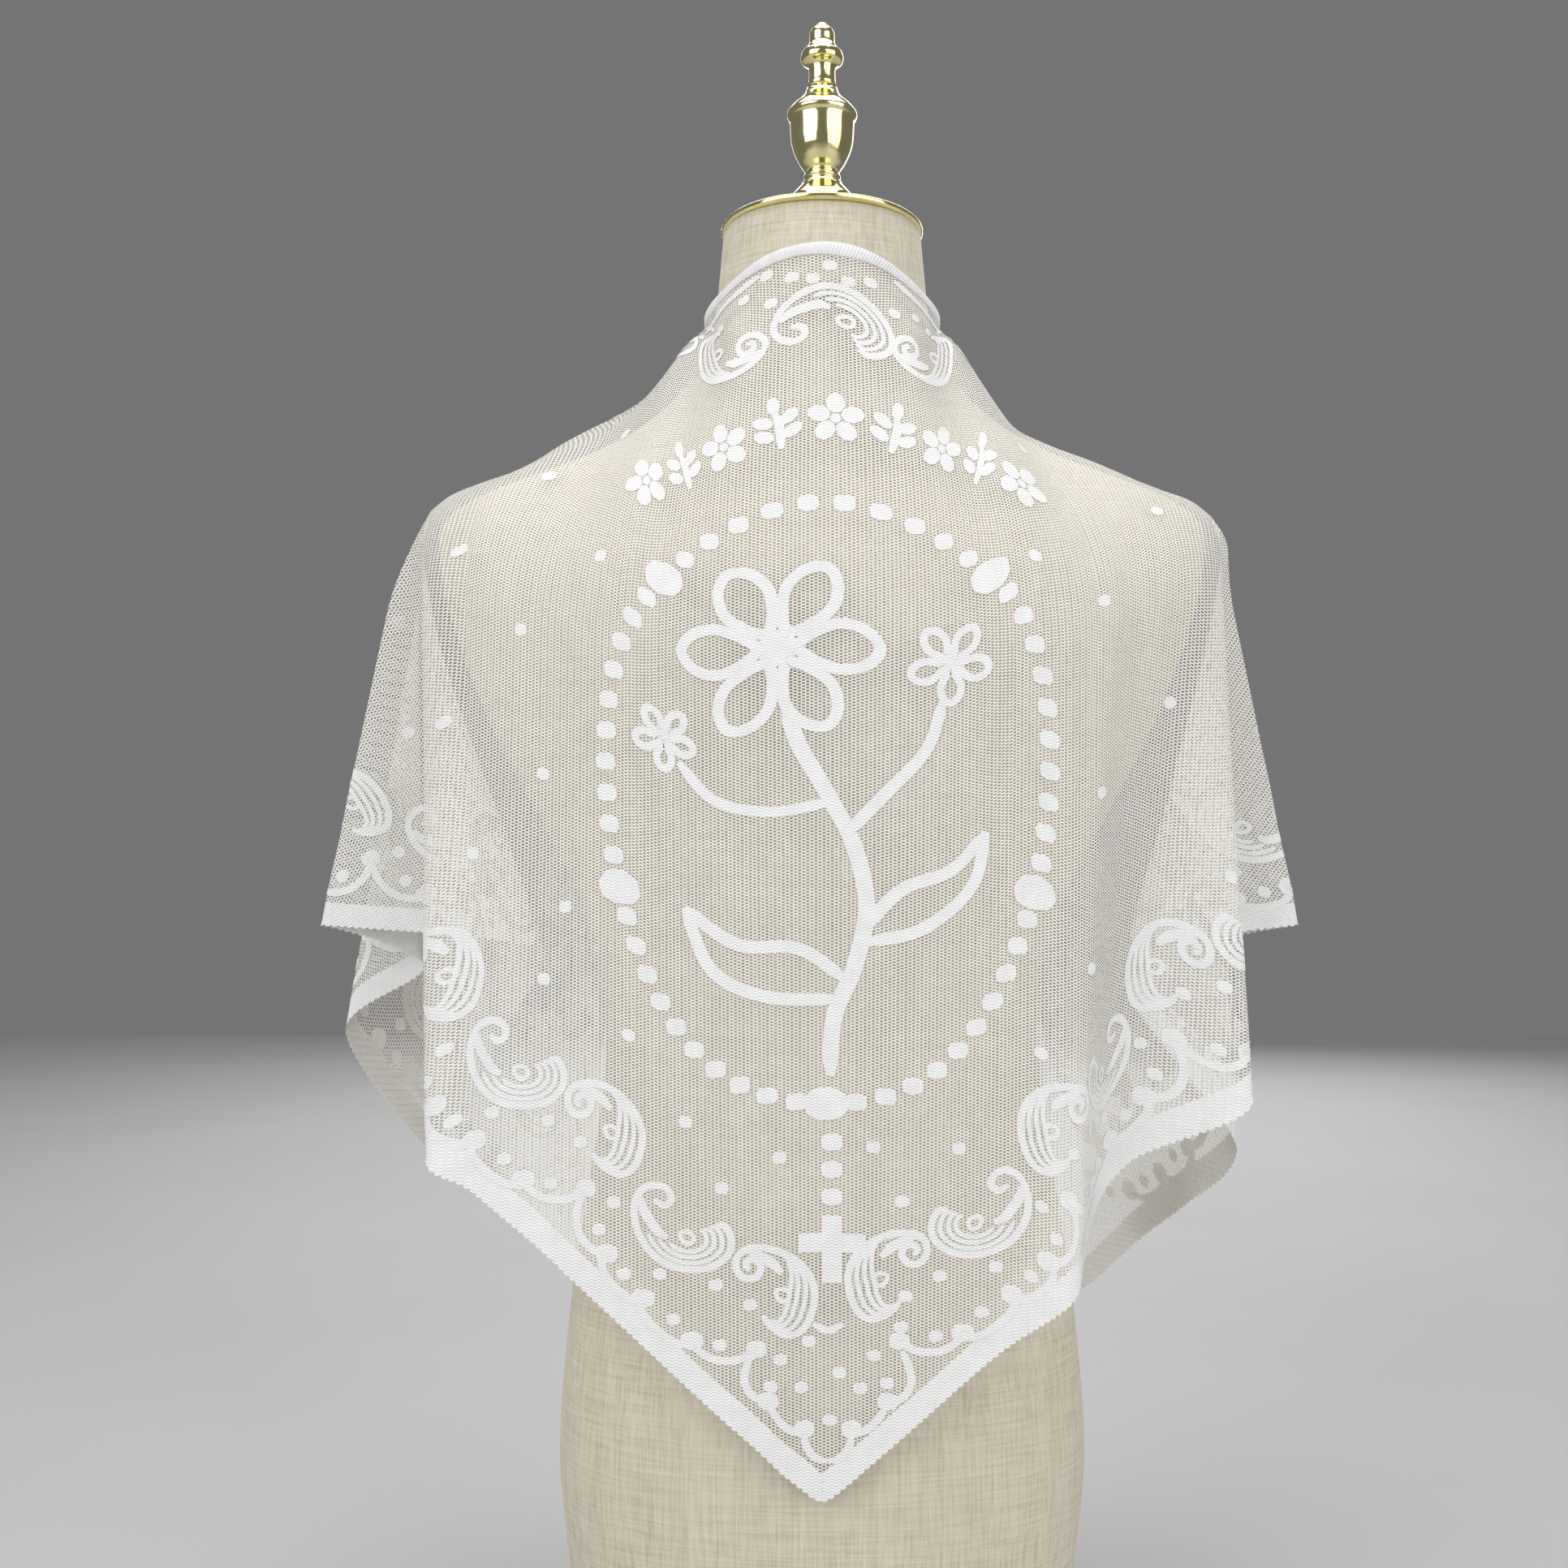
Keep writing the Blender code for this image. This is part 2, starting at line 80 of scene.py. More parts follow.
# One row per fold of a side, from the middle of the back round to the front end.
# head: -1 middle of the nape, 0 side of the neck, 1 shoulder tip. s: flat place of its lower end on the
# cut edge. over: where the fall line passes over the shoulder. leave: where it leaves the body. low: its
# lower end. steps: how many strips lead to the row from the one before.
LEFT_FOLDS = [
    # name, head, s, over (x, y, z), leave (x, y, z), low (x, y, z), steps
    ("middle", -1.0, 0.0, (0.0, -0.069, 0.768), (0.0, -0.1, 0.645), (0.0, -0.106, 0.128), 0),
    ("spine", -0.5, 0.055, (0.046, -0.062, 0.763), (0.055, -0.1035, 0.64), (0.055, -0.109, 0.178), 3),
    ("neck side", 0.0, 0.105, (0.07, -0.035, 0.761), (0.102, -0.102, 0.636), (0.105, -0.107, 0.224), 3),
    ("blade", 0.4, 0.15, (0.115, -0.036, 0.711), (0.15, -0.086, 0.636), (0.15, -0.101, 0.264), 3),
    ("arm edge", 0.8, 0.185, (0.192, -0.03, 0.678), (0.195, -0.068, 0.632), (0.187, -0.093, 0.293), 3),
    ("back roll", 1.0, 0.208, (0.2275, -0.016, 0.654), (0.224, -0.04, 0.618), (0.213, -0.083, 0.308), 2),
    ("inner tuck", 1.0, 0.349, (0.232, 0.0, 0.645), (0.22, -0.006, 0.585), (0.158, -0.006, 0.413), 5),
    ("outer flare", 1.0, 0.446, (0.2365, 0.004, 0.652), (0.25, 0.004, 0.622), (0.293, 0.012, 0.428), 5),
    ("dip", 1.0, 0.496, (0.2335, 0.01, 0.647), (0.237, 0.016, 0.61), (0.236, 0.03, 0.4025), 4),
    ("front flare", 1.0, 0.546, (0.231, 0.016, 0.652), (0.239, 0.028, 0.616), (0.287, 0.05, 0.361), 4),
    ("front roll", 0.8, 0.62, (0.192, 0.03, 0.678), (0.212, 0.07, 0.6), (0.238, 0.092, 0.275), 2),
    ("front panel", 0.4, 0.685, (0.118, 0.038, 0.709), (0.15, 0.102, 0.59), (0.2, 0.128, 0.232), 3),
    ("front end", 0.0, 0.75, (0.07, 0.034, 0.761), (0.122, 0.124, 0.56), (0.155, 0.132, 0.183), 3),
]
RIGHT_FOLDS = [
    ("middle", -1.0, 0.0, (0.0, -0.069, 0.768), (0.0, -0.1, 0.645), (0.0, -0.106, 0.128), 0),
    ("spine", -0.5, 0.05, (0.046, -0.062, 0.763), (0.055, -0.1035, 0.64), (0.05, -0.109, 0.173), 3),
    ("neck side", 0.0, 0.095, (0.07, -0.035, 0.761), (0.102, -0.102, 0.636), (0.095, -0.1085, 0.212), 3),
    ("blade", 0.4, 0.137, (0.114, -0.036, 0.706), (0.15, -0.086, 0.636), (0.1345, -0.105, 0.24), 3),
    ("soft valley", 0.6, 0.178, (0.156, -0.034, 0.6905), (0.174, -0.078, 0.634), (0.147, -0.072, 0.275), 3),
    ("arm edge", 0.8, 0.206, (0.191, -0.03, 0.6745), (0.197, -0.067, 0.632), (0.169, -0.06, 0.303), 2),
    ("back roll", 1.0, 0.259, (0.2275, -0.016, 0.654), (0.224, -0.04, 0.618), (0.238, -0.05, 0.3355), 3),
    ("inner tuck", 1.0, 0.338, (0.232, 0.0, 0.645), (0.221, -0.006, 0.585), (0.175, 0.002, 0.41), 4),
    ("outer flare", 1.0, 0.408, (0.2355, 0.004, 0.652), (0.237, 0.006, 0.622), (0.279, 0.014, 0.428), 4),
    ("dip", 1.0, 0.5, (0.2325, 0.01, 0.647), (0.229, 0.02, 0.605), (0.182, 0.052, 0.392), 4),
    ("front flare", 1.0, 0.61, (0.23, 0.016, 0.652), (0.229, 0.036, 0.612), (0.253, 0.066, 0.287), 4),
    ("front roll", 0.8, 0.65, (0.192, 0.03, 0.678), (0.208, 0.071, 0.6), (0.2285, 0.093, 0.25), 2),
    ("soft roll", 0.6, 0.675, (0.156, 0.035, 0.692), (0.18, 0.088, 0.595), (0.2145, 0.112, 0.233), 2),
    ("front panel", 0.4, 0.7, (0.118, 0.038, 0.709), (0.15, 0.102, 0.59), (0.198, 0.126, 0.215), 3),
    ("front end", 0.0, 0.75, (0.07, 0.034, 0.761), (0.122, 0.124, 0.56), (0.159, 0.132, 0.175), 3),
]

# Torso of the form, one row per level: z, half width, depth behind the side line, depth before it,
# lean, fullness
TORSO = [
    (0.0, 0.13, 0.08, 0.082, 0.0, 2.15),
    (0.006, 0.137, 0.0865, 0.0885, 0.0, 2.15),
    (0.025, 0.142, 0.0915, 0.0935, 0.0, 2.15),
    (0.07, 0.146, 0.0955, 0.097, 0.0, 2.15),
    (0.127, 0.151, 0.0975, 0.099, 0.0, 2.15),
    (0.21, 0.145, 0.092, 0.095, 0.0, 2.15),
    (0.29, 0.133, 0.079, 0.088, 0.0, 2.15),
    (0.358, 0.1245, 0.069, 0.084, 0.0, 2.15),
    (0.41, 0.128, 0.07, 0.088, 0.0, 2.15),
    (0.445, 0.14, 0.074, 0.097, 0.0, 2.15),
    (0.485, 0.16, 0.081, 0.109, 0.0, 2.15),
    (0.54, 0.189, 0.0885, 0.116, 0.0, 2.15),
    (0.59, 0.209, 0.093, 0.108, 0.0, 2.15),
    (0.625, 0.2185, 0.0915, 0.093, 0.0, 2.1),
    (0.652, 0.221, 0.083, 0.076, 0.0, 2.05),
    (0.6645, 0.215, 0.076, 0.066, 0.0, 2.0),
    (0.6748, 0.199, 0.071, 0.058, 0.0, 2.0),
    (0.6858, 0.171, 0.067, 0.053, 0.0, 2.0),
    (0.6988, 0.136, 0.064, 0.05, 0.0, 2.0),
    (0.7128, 0.108, 0.062, 0.049, 1.0, 2.0),
    (0.7308, 0.0858, 0.061, 0.049, 2.0, 2.0),
    (0.7515, 0.071, 0.0612, 0.049, 3.5, 2.0),
    (0.775, 0.0622, 0.0603, 0.0495, 5.0, 2.0),
    (0.803, 0.059, 0.0581, 0.05, 6.5, 2.0),
    (0.826, 0.057, 0.0556, 0.0515, 6.5, 2.0),
]

# Neck cap and finial, which lean forward with the top of the neck
LEAN = 6.5
CAP_Z = 0.8266
CAP_Y = -0.001
CAP = [(0.0, 0.0), (0.057, 0.0), (0.0582, 0.0009), (0.0582, 0.0026), (0.057, 0.0036), (0.0, 0.0042)]
FOOT = [
    (0.0, 0.0046), (0.0235, 0.0046), (0.024, 0.0065), (0.0215, 0.009), (0.019, 0.0105), (0.0196, 0.0145),
    (0.0206, 0.018), (0.0185, 0.0225), (0.0148, 0.027), (0.0124, 0.0298), (0.0115, 0.0318), (0.0098, 0.0333),
    (0.0109, 0.035), (0.0104, 0.0366), (0.0, 0.0366),
]
URN = [
    (0.0, 0.0369), (0.0092, 0.0369), (0.0107, 0.0399), (0.0128, 0.043), (0.0146, 0.0464), (0.0166, 0.051),
    (0.0179, 0.056), (0.0184, 0.0615), (0.0187, 0.0692), (0.0197, 0.0707), (0.0205, 0.0725), (0.0203, 0.074),
    (0.0172, 0.0781), (0.013, 0.0818), (0.01, 0.0855), (0.0089, 0.0892), (0.0, 0.0892),
]
KNOB = [
    (0.0, 0.0895), (0.0085, 0.0895), (0.0078, 0.094), (0.0076, 0.099), (0.0079, 0.1022), (0.0092, 0.1037),
    (0.0119, 0.1052), (0.0126, 0.1076), (0.0119, 0.111), (0.0094, 0.1134), (0.0079, 0.1158), (0.0073, 0.117),
    (0.0073, 0.123), (0.006, 0.1259), (0.0036, 0.1268), (0.003, 0.1288), (0.0, 0.1296),
]


def smooth_through(knots, values, at):
    """Values at the places asked for, on a smooth curve through the knots that never swings past them."""
    knots, values, at = (np.asarray(a, float) for a in (knots, values, at))
    gap = np.diff(knots)[:, None]
    rise = np.diff(values, axis=0) / gap
    slope = np.zeros_like(values)
    same = rise[:-1] * rise[1:] > 0
    w1, w2 = 2 * gap[1:] + gap[:-1], gap[1:] + 2 * gap[:-1]
    safe_a, safe_b = np.where(same, rise[:-1], 1.0), np.where(same, rise[1:], 1.0)
    slope[1:-1] = np.where(same, (w1 + w2) / (w1 / safe_a + w2 / safe_b), 0.0)
    slope[0], slope[-1] = rise[0], rise[-1]
    i = np.clip(np.searchsorted(knots, at, side="right") - 1, 0, len(knots) - 2)
    g = gap[i]
    f = ((at - knots[i]) / g[:, 0])[:, None]
    return (
        values[i] * (1 + 2 * f) * (1 - f) ** 2
        + slope[i] * g * f * (1 - f) ** 2
        + values[i + 1] * f * f * (3 - 2 * f)
        + slope[i + 1] * g * f * f * (f - 1)
    )


def head_place(head, ridge):
    """Where fall lines start: round the nape up to head 0, then out along the shoulder ridge."""
    turn = (1 + np.clip(head, -1, 0)) * math.pi / 2
    nape = np.stack([NECK_SIDE_X * np.sin(turn), NAPE_Y * np.cos(turn),
                     NECK_SIDE_Z + (NAPE_Z - NECK_SIDE_Z) * np.cos(turn)**2], 1)
    run = np.r_[0, np.cumsum(np.hypot(*np.diff(ridge, axis=0).T))]
    xz = smooth_through(run / run[-1], ridge, np.clip(head, 0, 1))
    out = np.stack([xz[:, 0], np.zeros(len(xz)), xz[:, 1]], 1)
    return np.where((head < 0)[:, None], nape, out)


def head_flat(head):
    """The flat place of the same points."""
    on_edge = np.stack([NECK_RUN * (1 + np.clip(head, -1, 0)), np.zeros(len(head))], 1)
    share = np.clip(head, 0, 1)[:, None]
    on_ridge = (1 - share) * np.array([NECK_RUN, 0.0]) + share * np.array([SHOULDER_S, SHOULDER_T])
    return np.where((head < 0)[:, None], on_edge, on_ridge)


def turned_path(points, turns, samples):
    """Points along lines through the given corners, each corner rounded over the given length."""
    a, b, c, d = points
    path = [a[None]]
    for before, corner, after, turn in ((a, b, c, turns[0]), (b, c, d, turns[1])):
        back, on = before - corner, after - corner
        long_back = np.linalg.norm(back, axis=1, keepdims=True)
        long_on = np.linalg.norm(on, axis=1, keepdims=True)
        cut = np.minimum(turn, 0.48 * np.minimum(long_back, long_on))
        start, end = corner + back / long_back * cut, corner + on / long_on * cut
        for f in np.linspace(0, 1, samples):
            path.append(((1 - f) ** 2 * start + 2 * f * (1 - f) * corner + f * f * end)[None])
    path.append(d[None])
    return np.concatenate(path)


def drape(folds, ridge, finer, down):
    """One side of the shawl: places in space and on the flat cut, by strip and by row down the fall line."""
    head, low_s = (np.array([row[i] for row in folds]) for i in (1, 2))
    over, leave, low = (np.array([row[i] for row in folds], float) for i in (3, 4, 5))
    steps = [row[6] * finer for row in folds[1:]]
    u = np.concatenate([[0.0]] + [k + np.arange(1, n + 1) / n for k, n in enumerate(steps)])
    knots = np.arange(len(folds), dtype=float)
    heads = np.interp(u, knots, head)
    over_u, leave_u, low_u = (smooth_through(knots, v, u) for v in (over, leave, low))
    fine = np.linspace(0, len(folds) - 1, 40 * (len(folds) - 1) + 1)
    edge = smooth_through(knots, low, fine)
    run = np.r_[0, np.cumsum(np.linalg.norm(np.diff(edge, axis=0), axis=1))]
    s_low = np.interp(np.interp(u, fine, run), run[::40], low_s)
    start = head_place(heads, np.array(ridge))
    path = turned_path((start, over_u, leave_u, low_u), (0.03, FALL_TURN), 9 * finer)
    pieces = np.linalg.norm(np.diff(path, axis=0), axis=2)
    along = np.concatenate([np.zeros((1, len(u))), np.cumsum(pieces, axis=0)])
    flat_start = head_flat(heads)
    flat_low = np.stack([s_low, DEPTH * (1 - s_low / HALF_EDGE)], 1)
    rounded = np.sqrt(s_low**2 + POINT_ROUND**2) - s_low
    end = 1 - rounded * DEPTH / HALF_EDGE / np.maximum(flat_low[:, 1] - flat_start[:, 1], 0.02)
    end = np.where(s_low < 0.1, end, 1.0)
    from_end = (HALF_EDGE - s_low) / 0.012
    end = end - 0.012 * np.exp(-from_end**2)
    place = np.empty((len(u), len(down), 3))
    flat = np.empty((len(u), len(down), 2))
    for k in range(len(u)):
        share = np.array(down) * end[k]
        for axis in range(3):
            place[k, :, axis] = np.interp(share * along[-1, k], along[:, k], path[:, k, axis])
        flat[k] = flat_start[k] + share[:, None] * (flat_low[k] - flat_start[k])
    return place, flat


def both_sides(finer, down):
    """The whole shawl as a grid of strips, from the left front end over the back to the right front end."""
    left, left_flat = drape(LEFT_FOLDS, LEFT_RIDGE, finer, down)
    right, right_flat = drape(RIGHT_FOLDS, RIGHT_RIDGE, finer, down)
    left[..., 0] *= -1
    left_flat[..., 0] *= -1
    place = np.concatenate([left[::-1], right[1:]])
    flat = np.concatenate([left_flat[::-1], right_flat[1:]])
    return place, flat


# Finer strips and rows for the shown cloth
FINER = 6
ROWS = 104

# Knitted net: one mesh across, one row down, and the open hole of each
MESH_ACROSS = 0.00205
MESH_DOWN = 0.0017
HOLE_ACROSS = 0.00188
HOLE_DOWN = 0.00112

# Small soft creases that the coarse form leaves out, beside the middle of the back: s, half width, height
CREASES = [(-0.021, 0.007, 0.0026), (-0.038, 0.01, -0.0016)]

# Dense band along the two hems, and its rows in from the edge
BAND = 0.013
BAND_STEP = 0.0014
BAND_ROWS = (0.003, 0.0062, 0.0096)

# Widths of the knitted lines: scallops, a feather's outline, inner lines and wedge, the link at the point
LINE = 0.0044
FEATHER_LINE = 0.0041
FINE_LINE = 0.0026
WEDGE_LINE = 0.0055
LINK_LINE = 0.0042

# Step along a knitted line, the teeth of its sides, and the lift of each next patch
STEP = 0.00105
TOOTH = 0.00026
NEXT_LIFT = 0.00002

# Half sizes of the dots by the scallops, over the field and by the nape, and of the buds at the point
DOT = (0.0038, 0.0032)
FIELD_DOT = (0.0038, 0.0033)
NAPE_DOT = (0.004, 0.003)
POINT_BUD = (0.0056, 0.0048)

# One repeat of the border: along the edge from the cusp nearer the point, in from the cut edge, and the half
# sizes of buds; four parts, each with one arc
REPEAT = 0.124
PART = 0.031
BUDS_AT = [
    (0.0, 0.04, 0.0055, 0.0048),
    (0.028, 0.0205, 0.0062, 0.005),
    (0.062, 0.019, 0.0062, 0.005),
    (0.092, 0.0225, 0.0062, 0.005),
]
ARCS = [
    [(0.0, 0.04), (0.003, 0.03), (0.012, 0.0215), (0.022, 0.019), (0.028, 0.0205)],
    [(0.028, 0.0205), (0.031, 0.0145), (0.041, 0.0118), (0.053, 0.012), (0.06, 0.0145), (0.062, 0.019)],
    [(0.062, 0.019), (0.066, 0.014), (0.076, 0.0125), (0.086, 0.014), (0.091, 0.018), (0.092, 0.0225)],
    [(0.092, 0.0225), (0.098, 0.019), (0.108, 0.0195), (0.117, 0.025), (0.122, 0.033), (0.124, 0.04)],
]
DOTS = [
    (0.016, 0.029), (0.043, 0.022), (0.04, 0.052), (0.065, 0.035), (0.078, 0.021), (0.104, 0.029),
    (0.108, 0.045), (0.019, 0.056),
]

# Curled feathers as shares of their size: along from the hook to the open end, in from the edge. outer: the
# outline. first: where its body starts. wedge: the dense line. middle: how far in it lies. drop: its place.
# is_open: whether the body's end is open.
FEATHER = 0.053
BELLY_IN = {
    "outer": [
        (-0.4, 0.01), (-0.29, 0.04), (-0.28, 0.14), (-0.38, 0.19), (-0.49, 0.13), (-0.55, 0.0),
        (-0.5, -0.17), (-0.36, -0.31), (-0.18, -0.39), (0.01, -0.41), (0.21, -0.35), (0.38, -0.22),
        (0.49, -0.05), (0.51, 0.14), (0.42, 0.27), (0.29, 0.32), (0.2, 0.27),
    ],
    "first": 7,
    "wedge": [(-0.5, -0.07), (-0.41, -0.14), (-0.27, -0.18), (-0.14, -0.2), (-0.04, -0.17)],
    "middle": 0.062, "drop": (0.09, -0.03), "is_open": True,
}
BELLY_OUT = {
    "outer": [
        (-0.35, 0.0), (-0.42, 0.01), (-0.42, 0.09), (-0.34, 0.12), (-0.27, 0.07), (-0.26, -0.03),
        (-0.34, -0.1), (-0.46, -0.08), (-0.54, 0.03), (-0.51, 0.15), (-0.43, 0.24), (-0.3, 0.32),
        (-0.12, 0.37), (0.08, 0.36), (0.26, 0.27), (0.38, 0.12), (0.45, -0.06), (0.42, -0.2),
        (0.3, -0.27), (0.15, -0.28), (0.06, -0.26),
    ],
    "first": 11,
    "wedge": [(-0.5, 0.13), (-0.38, 0.17), (-0.24, 0.2), (-0.1, 0.19)],
    "middle": 0.07, "drop": (0.05, 0.03), "is_open": False,
}
# The two feathers of a repeat, and how far along it each has its middle
FEATHERS_AT = [(BELLY_OUT, 0.0135), (BELLY_IN, 0.0735)]
# How far the inner lines are drawn in, and the shape of the drop
NESTED = [0.2, 0.38, 0.55]
DROP = [(-0.07, -0.02), (-0.04, 0.04), (0.02, 0.06), (0.07, 0.03), (0.07, -0.03), (0.01, -0.06)]

# How near another edge scallops and feathers may come, by the edge they follow
ROOM = {"long": 0.016, "left": 0.02, "right": 0.02}
FEATHER_ROOM = 0.055

# Where the repeats of each hem start from the point, and how far its feathers lag
HEM_STARTS = [("left", 0.0845, 0.0), ("right", 0.0925, 0.005)]

# Repeats along the neck edge: how many, how much lower and longer than along the hems, how wide their
# feathers, and where they start on each side of the middle; the two nearest it have no scallops
NECK_REPEATS = 5
NECK_SQUEEZE = 0.64
NECK_WIDE = 1.1
NECK_FEATHER = 1.16
NECK_RIGHT = 0.088
NECK_LEFT = 0.078
NECK_LEFT_SINGLE = 0.079

# Dots and the two ends of the scalloped line beside the nape, where the roll takes in the rest of it
NAPE_DOTS = [
    (-0.03, 0.005), (-0.045, 0.014), (-0.028, 0.023), (-0.016, 0.011), (-0.005, 0.0135),
    (0.004, 0.006), (0.014, 0.014), (0.026, 0.011), (0.041, 0.025), (0.058, 0.022),
    (-0.068, 0.027), (0.074, 0.027),
]
NAPE_LINES = [
    [(-0.034, 0.003), (-0.048, 0.0055), (-0.063, 0.0085), (-0.078, 0.015), (-0.09, 0.0235)],
    [(0.04, 0.003), (0.054, 0.006), (0.07, 0.009), (0.085, 0.015), (0.096, 0.023)],
]

# Ring of beads: its middle, its reach to the side, up and down, how square it is, where on its length the
# large beads are, how many small ones lie between two, and half sizes
RING_S = 0.002
RING_T = 0.294
RING_ACROSS = 0.117
RING_UP = 0.1465
RING_DOWN = 0.185
RING_FULL = 2.1
LARGE_AT = [0.11, 0.3125, 0.5, 0.6875, 0.89]
SMALL_BETWEEN = 10
BEAD = (0.0056, 0.0047)
LARGE_BEAD = (0.0116, 0.0092)

# Pendant beads and plain cross below the ring
HANG_S = 0.005
PENDANT = [0.5, 0.515, 0.53]
CROSS_TOP = 0.54
CROSS_FOOT = 0.577
CROSS_ARM_T = 0.555
CROSS_WIDE = 0.035
CROSS_BAR = 0.0105
CROSS_CELL = 0.003

# Small dots strewn over the field: s, t; first those of the back, then those that lie alike on both sides
FIELD_DOTS = [
    (-0.177, 0.1325), (-0.211, 0.1885), (-0.124, 0.1885), (-0.167, 0.2305), (-0.211, 0.2805),
    (-0.152, 0.307), (-0.193, 0.352), (-0.138, 0.378), (-0.15, 0.417), (-0.102, 0.445),
    (-0.071, 0.488), (-0.052, 0.524), (-0.022, 0.508), (0.026, 0.502), (0.071, 0.502),
    (0.041, 0.531), (0.115, 0.45), (0.147, 0.402), (0.153, 0.309), (0.209, 0.2665),
    (0.154, 0.2065), (0.115, 0.1855), (0.205, 0.1565), (0.135, 0.1075), (-0.14, 0.1025),
]
TWIN_DOTS = [
    (0.262, 0.2265), (0.3, 0.1745), (0.33, 0.2345), (0.345, 0.1895), (0.39, 0.1595),
    (0.43, 0.1195), (0.29, 0.1295), (0.48, 0.1245), (0.245, 0.345),
]

# Scallops round the point, each half: buds, lines, and dots, about the middle of the pattern
POINT_S = 0.003
POINT_BUDS = [(0.0315, 0.641), (0.0125, 0.6565)]
POINT_LINES = [
    [(0.0388, 0.613), (0.0425, 0.622), (0.0435, 0.631), (0.0395, 0.6385), (0.0315, 0.642)],
    [(0.0315, 0.642), (0.0285, 0.6475), (0.0235, 0.654), (0.0175, 0.658), (0.0125, 0.6575)],
    [(0.0125, 0.6575), (0.0115, 0.6655), (0.0065, 0.6725), (0.0, 0.6745)],
]
POINT_DOTS = [
    (-0.025, 0.618), (-0.01, 0.609), (0.006, 0.626), (-0.014, 0.634), (0.017, 0.634), (-0.03, 0.633),
    (0.031, 0.631), (0.024, 0.616), (0.001, 0.652), (0.038, 0.6),
]
POINT_LINK = [(-0.008, 0.5995), (0.0, 0.603), (0.008, 0.5995)]

# Open spray of flowers inside the ring: points on the flat cut, stroke width; it is all set a little higher
SPRAY_UP = 0.004
SPRAY = [
    ([(0.004, 0.468), (0.006, 0.436), (0.016, 0.408), (0.022, 0.375), (0.016, 0.342), (0.002, 0.312),
      (-0.012, 0.285), (-0.018, 0.262)], 0.0085),
    ([(0.02, 0.387), (0.04, 0.363), (0.066, 0.352), (0.084, 0.334)], 0.007),
    ([(0.084, 0.334), (0.077, 0.362), (0.051, 0.384), (0.022, 0.394)], 0.007),
    ([(0.012, 0.415), (-0.012, 0.398), (-0.042, 0.394), (-0.071, 0.374)], 0.007),
    ([(-0.071, 0.374), (-0.056, 0.408), (-0.026, 0.424), (0.009, 0.426)], 0.007),
    ([(0.012, 0.335), (0.032, 0.31), (0.052, 0.284), (0.06, 0.258)], 0.0065),
    ([(0.004, 0.318), (-0.024, 0.322), (-0.054, 0.314), (-0.074, 0.294)], 0.006),
]
# Its flowers: middle s and t, size, petals, stroke width
BLOOMS = [
    (-0.022, 0.232, 0.05, 6, 0.0062), (0.064, 0.238, 0.022, 5, 0.0044), (-0.082, 0.282, 0.017, 5, 0.0044),
]
# Outline of a petal as shares of its size: out and to the side
PETAL = [(0.2, 0.0), (0.55, 0.24), (0.85, 0.2), (1.0, 0.0), (0.85, -0.2), (0.55, -0.24)]

# Arc of small sprigs over the ring: middle of its circle, radius, half angle; their count, height, stem
SPRIG_ARC = (0.007, 0.2645, 0.1665, 42.0)
SPRIGS = 9
SPRIG = 0.029
SPRIG_STEM = 0.005

# How far each dense piece lies off the net
BAND_OUT = 0.00022
BORDER_OUT = 0.0003
MOTIF_OUT = 0.00045

# Length round the roll, corners round each shown piece, and levels of the form
ROLL_GIRTH = 0.016
ROLL_AROUND = 16
FORM_AROUND = 160
FORM_LEVELS = 120
TURNED_AROUND = 72
# Share of each side that a turned piece's eased corner takes
EASE = 0.3


def fine_rows():
    """Shares down a fall line, closer together near the shoulder, where the cloth turns most."""
    even = np.linspace(0, 1, ROWS)
    return list(0.5 * even + 0.5 * even**1.5)


def put_in_scene(name, data):
    obj = bpy.data.objects.new(name, data)
    bpy.context.scene.collection.objects.link(obj)
    return obj


def new_object(name, points, faces, uv=None):
    mesh = bpy.data.meshes.new(name)
    mesh.from_pydata(np.asarray(points, float).tolist(), [], [list(map(int, f)) for f in faces])
    if uv is not None:
        layer = mesh.uv_layers.new(name="Flat")
        index = np.empty(len(mesh.loops), dtype=np.int32)
        mesh.loops.foreach_get("vertex_index", index)
        layer.data.foreach_set("uv", np.asarray(uv, np.float32)[index].ravel())
    mesh.polygons.foreach_set("use_smooth", [True] * len(mesh.polygons))
    mesh.update()
    return put_in_scene(name, mesh)


def grid_faces(n, m):
    i, j = np.meshgrid(np.arange(n - 1), np.arange(m - 1), indexing="ij")
    a = (i * m + j).ravel()
    return np.stack([a, a + m, a + m + 1, a + 1], 1)


def rings_to_faces(rings, around, first=0):
    """Faces between rings of points, the first ring starting at the given point."""
    faces = []
    for k in range(rings - 1):
        for i in range(around):
            a, b = first + k * around + i, first + k * around + (i + 1) % around
            faces.append([a, b, b + around, a + around])
    return faces


def end_faces(rings, around):
    return [list(range(around))[::-1], [(rings - 1) * around + i for i in range(around)]]


def to_world(values):
    return np.asarray(values, float) - np.array([MIDDLE_X, MIDDLE_Y, 0.0])


def unit(rows):
    return rows / np.linalg.norm(rows, axis=1, keepdims=True)


def run_along(line):
    """Length along a line of points up to each of them."""
    return np.r_[0, np.cumsum(np.linalg.norm(np.diff(line, axis=0), axis=1))]


def crease(flat):
    """How far the cloth moves out along its normal at the small creases."""
    s, t = flat[:, 0], flat[:, 1]
    low = np.clip((t - 0.36) / 0.25, 0, 1)
    out = sum(high * np.exp(-(((s - at) / wide) ** 2)) * low * low for at, wide, high in CREASES)
    side = np.clip((np.abs(s) - 0.1) / 0.08, 0, 1) * np.clip((t - 0.22) / 0.2, 0, 1)
    return out + 0.001 * side * np.sin(s * TAU / 0.043 + 3.0 * t)


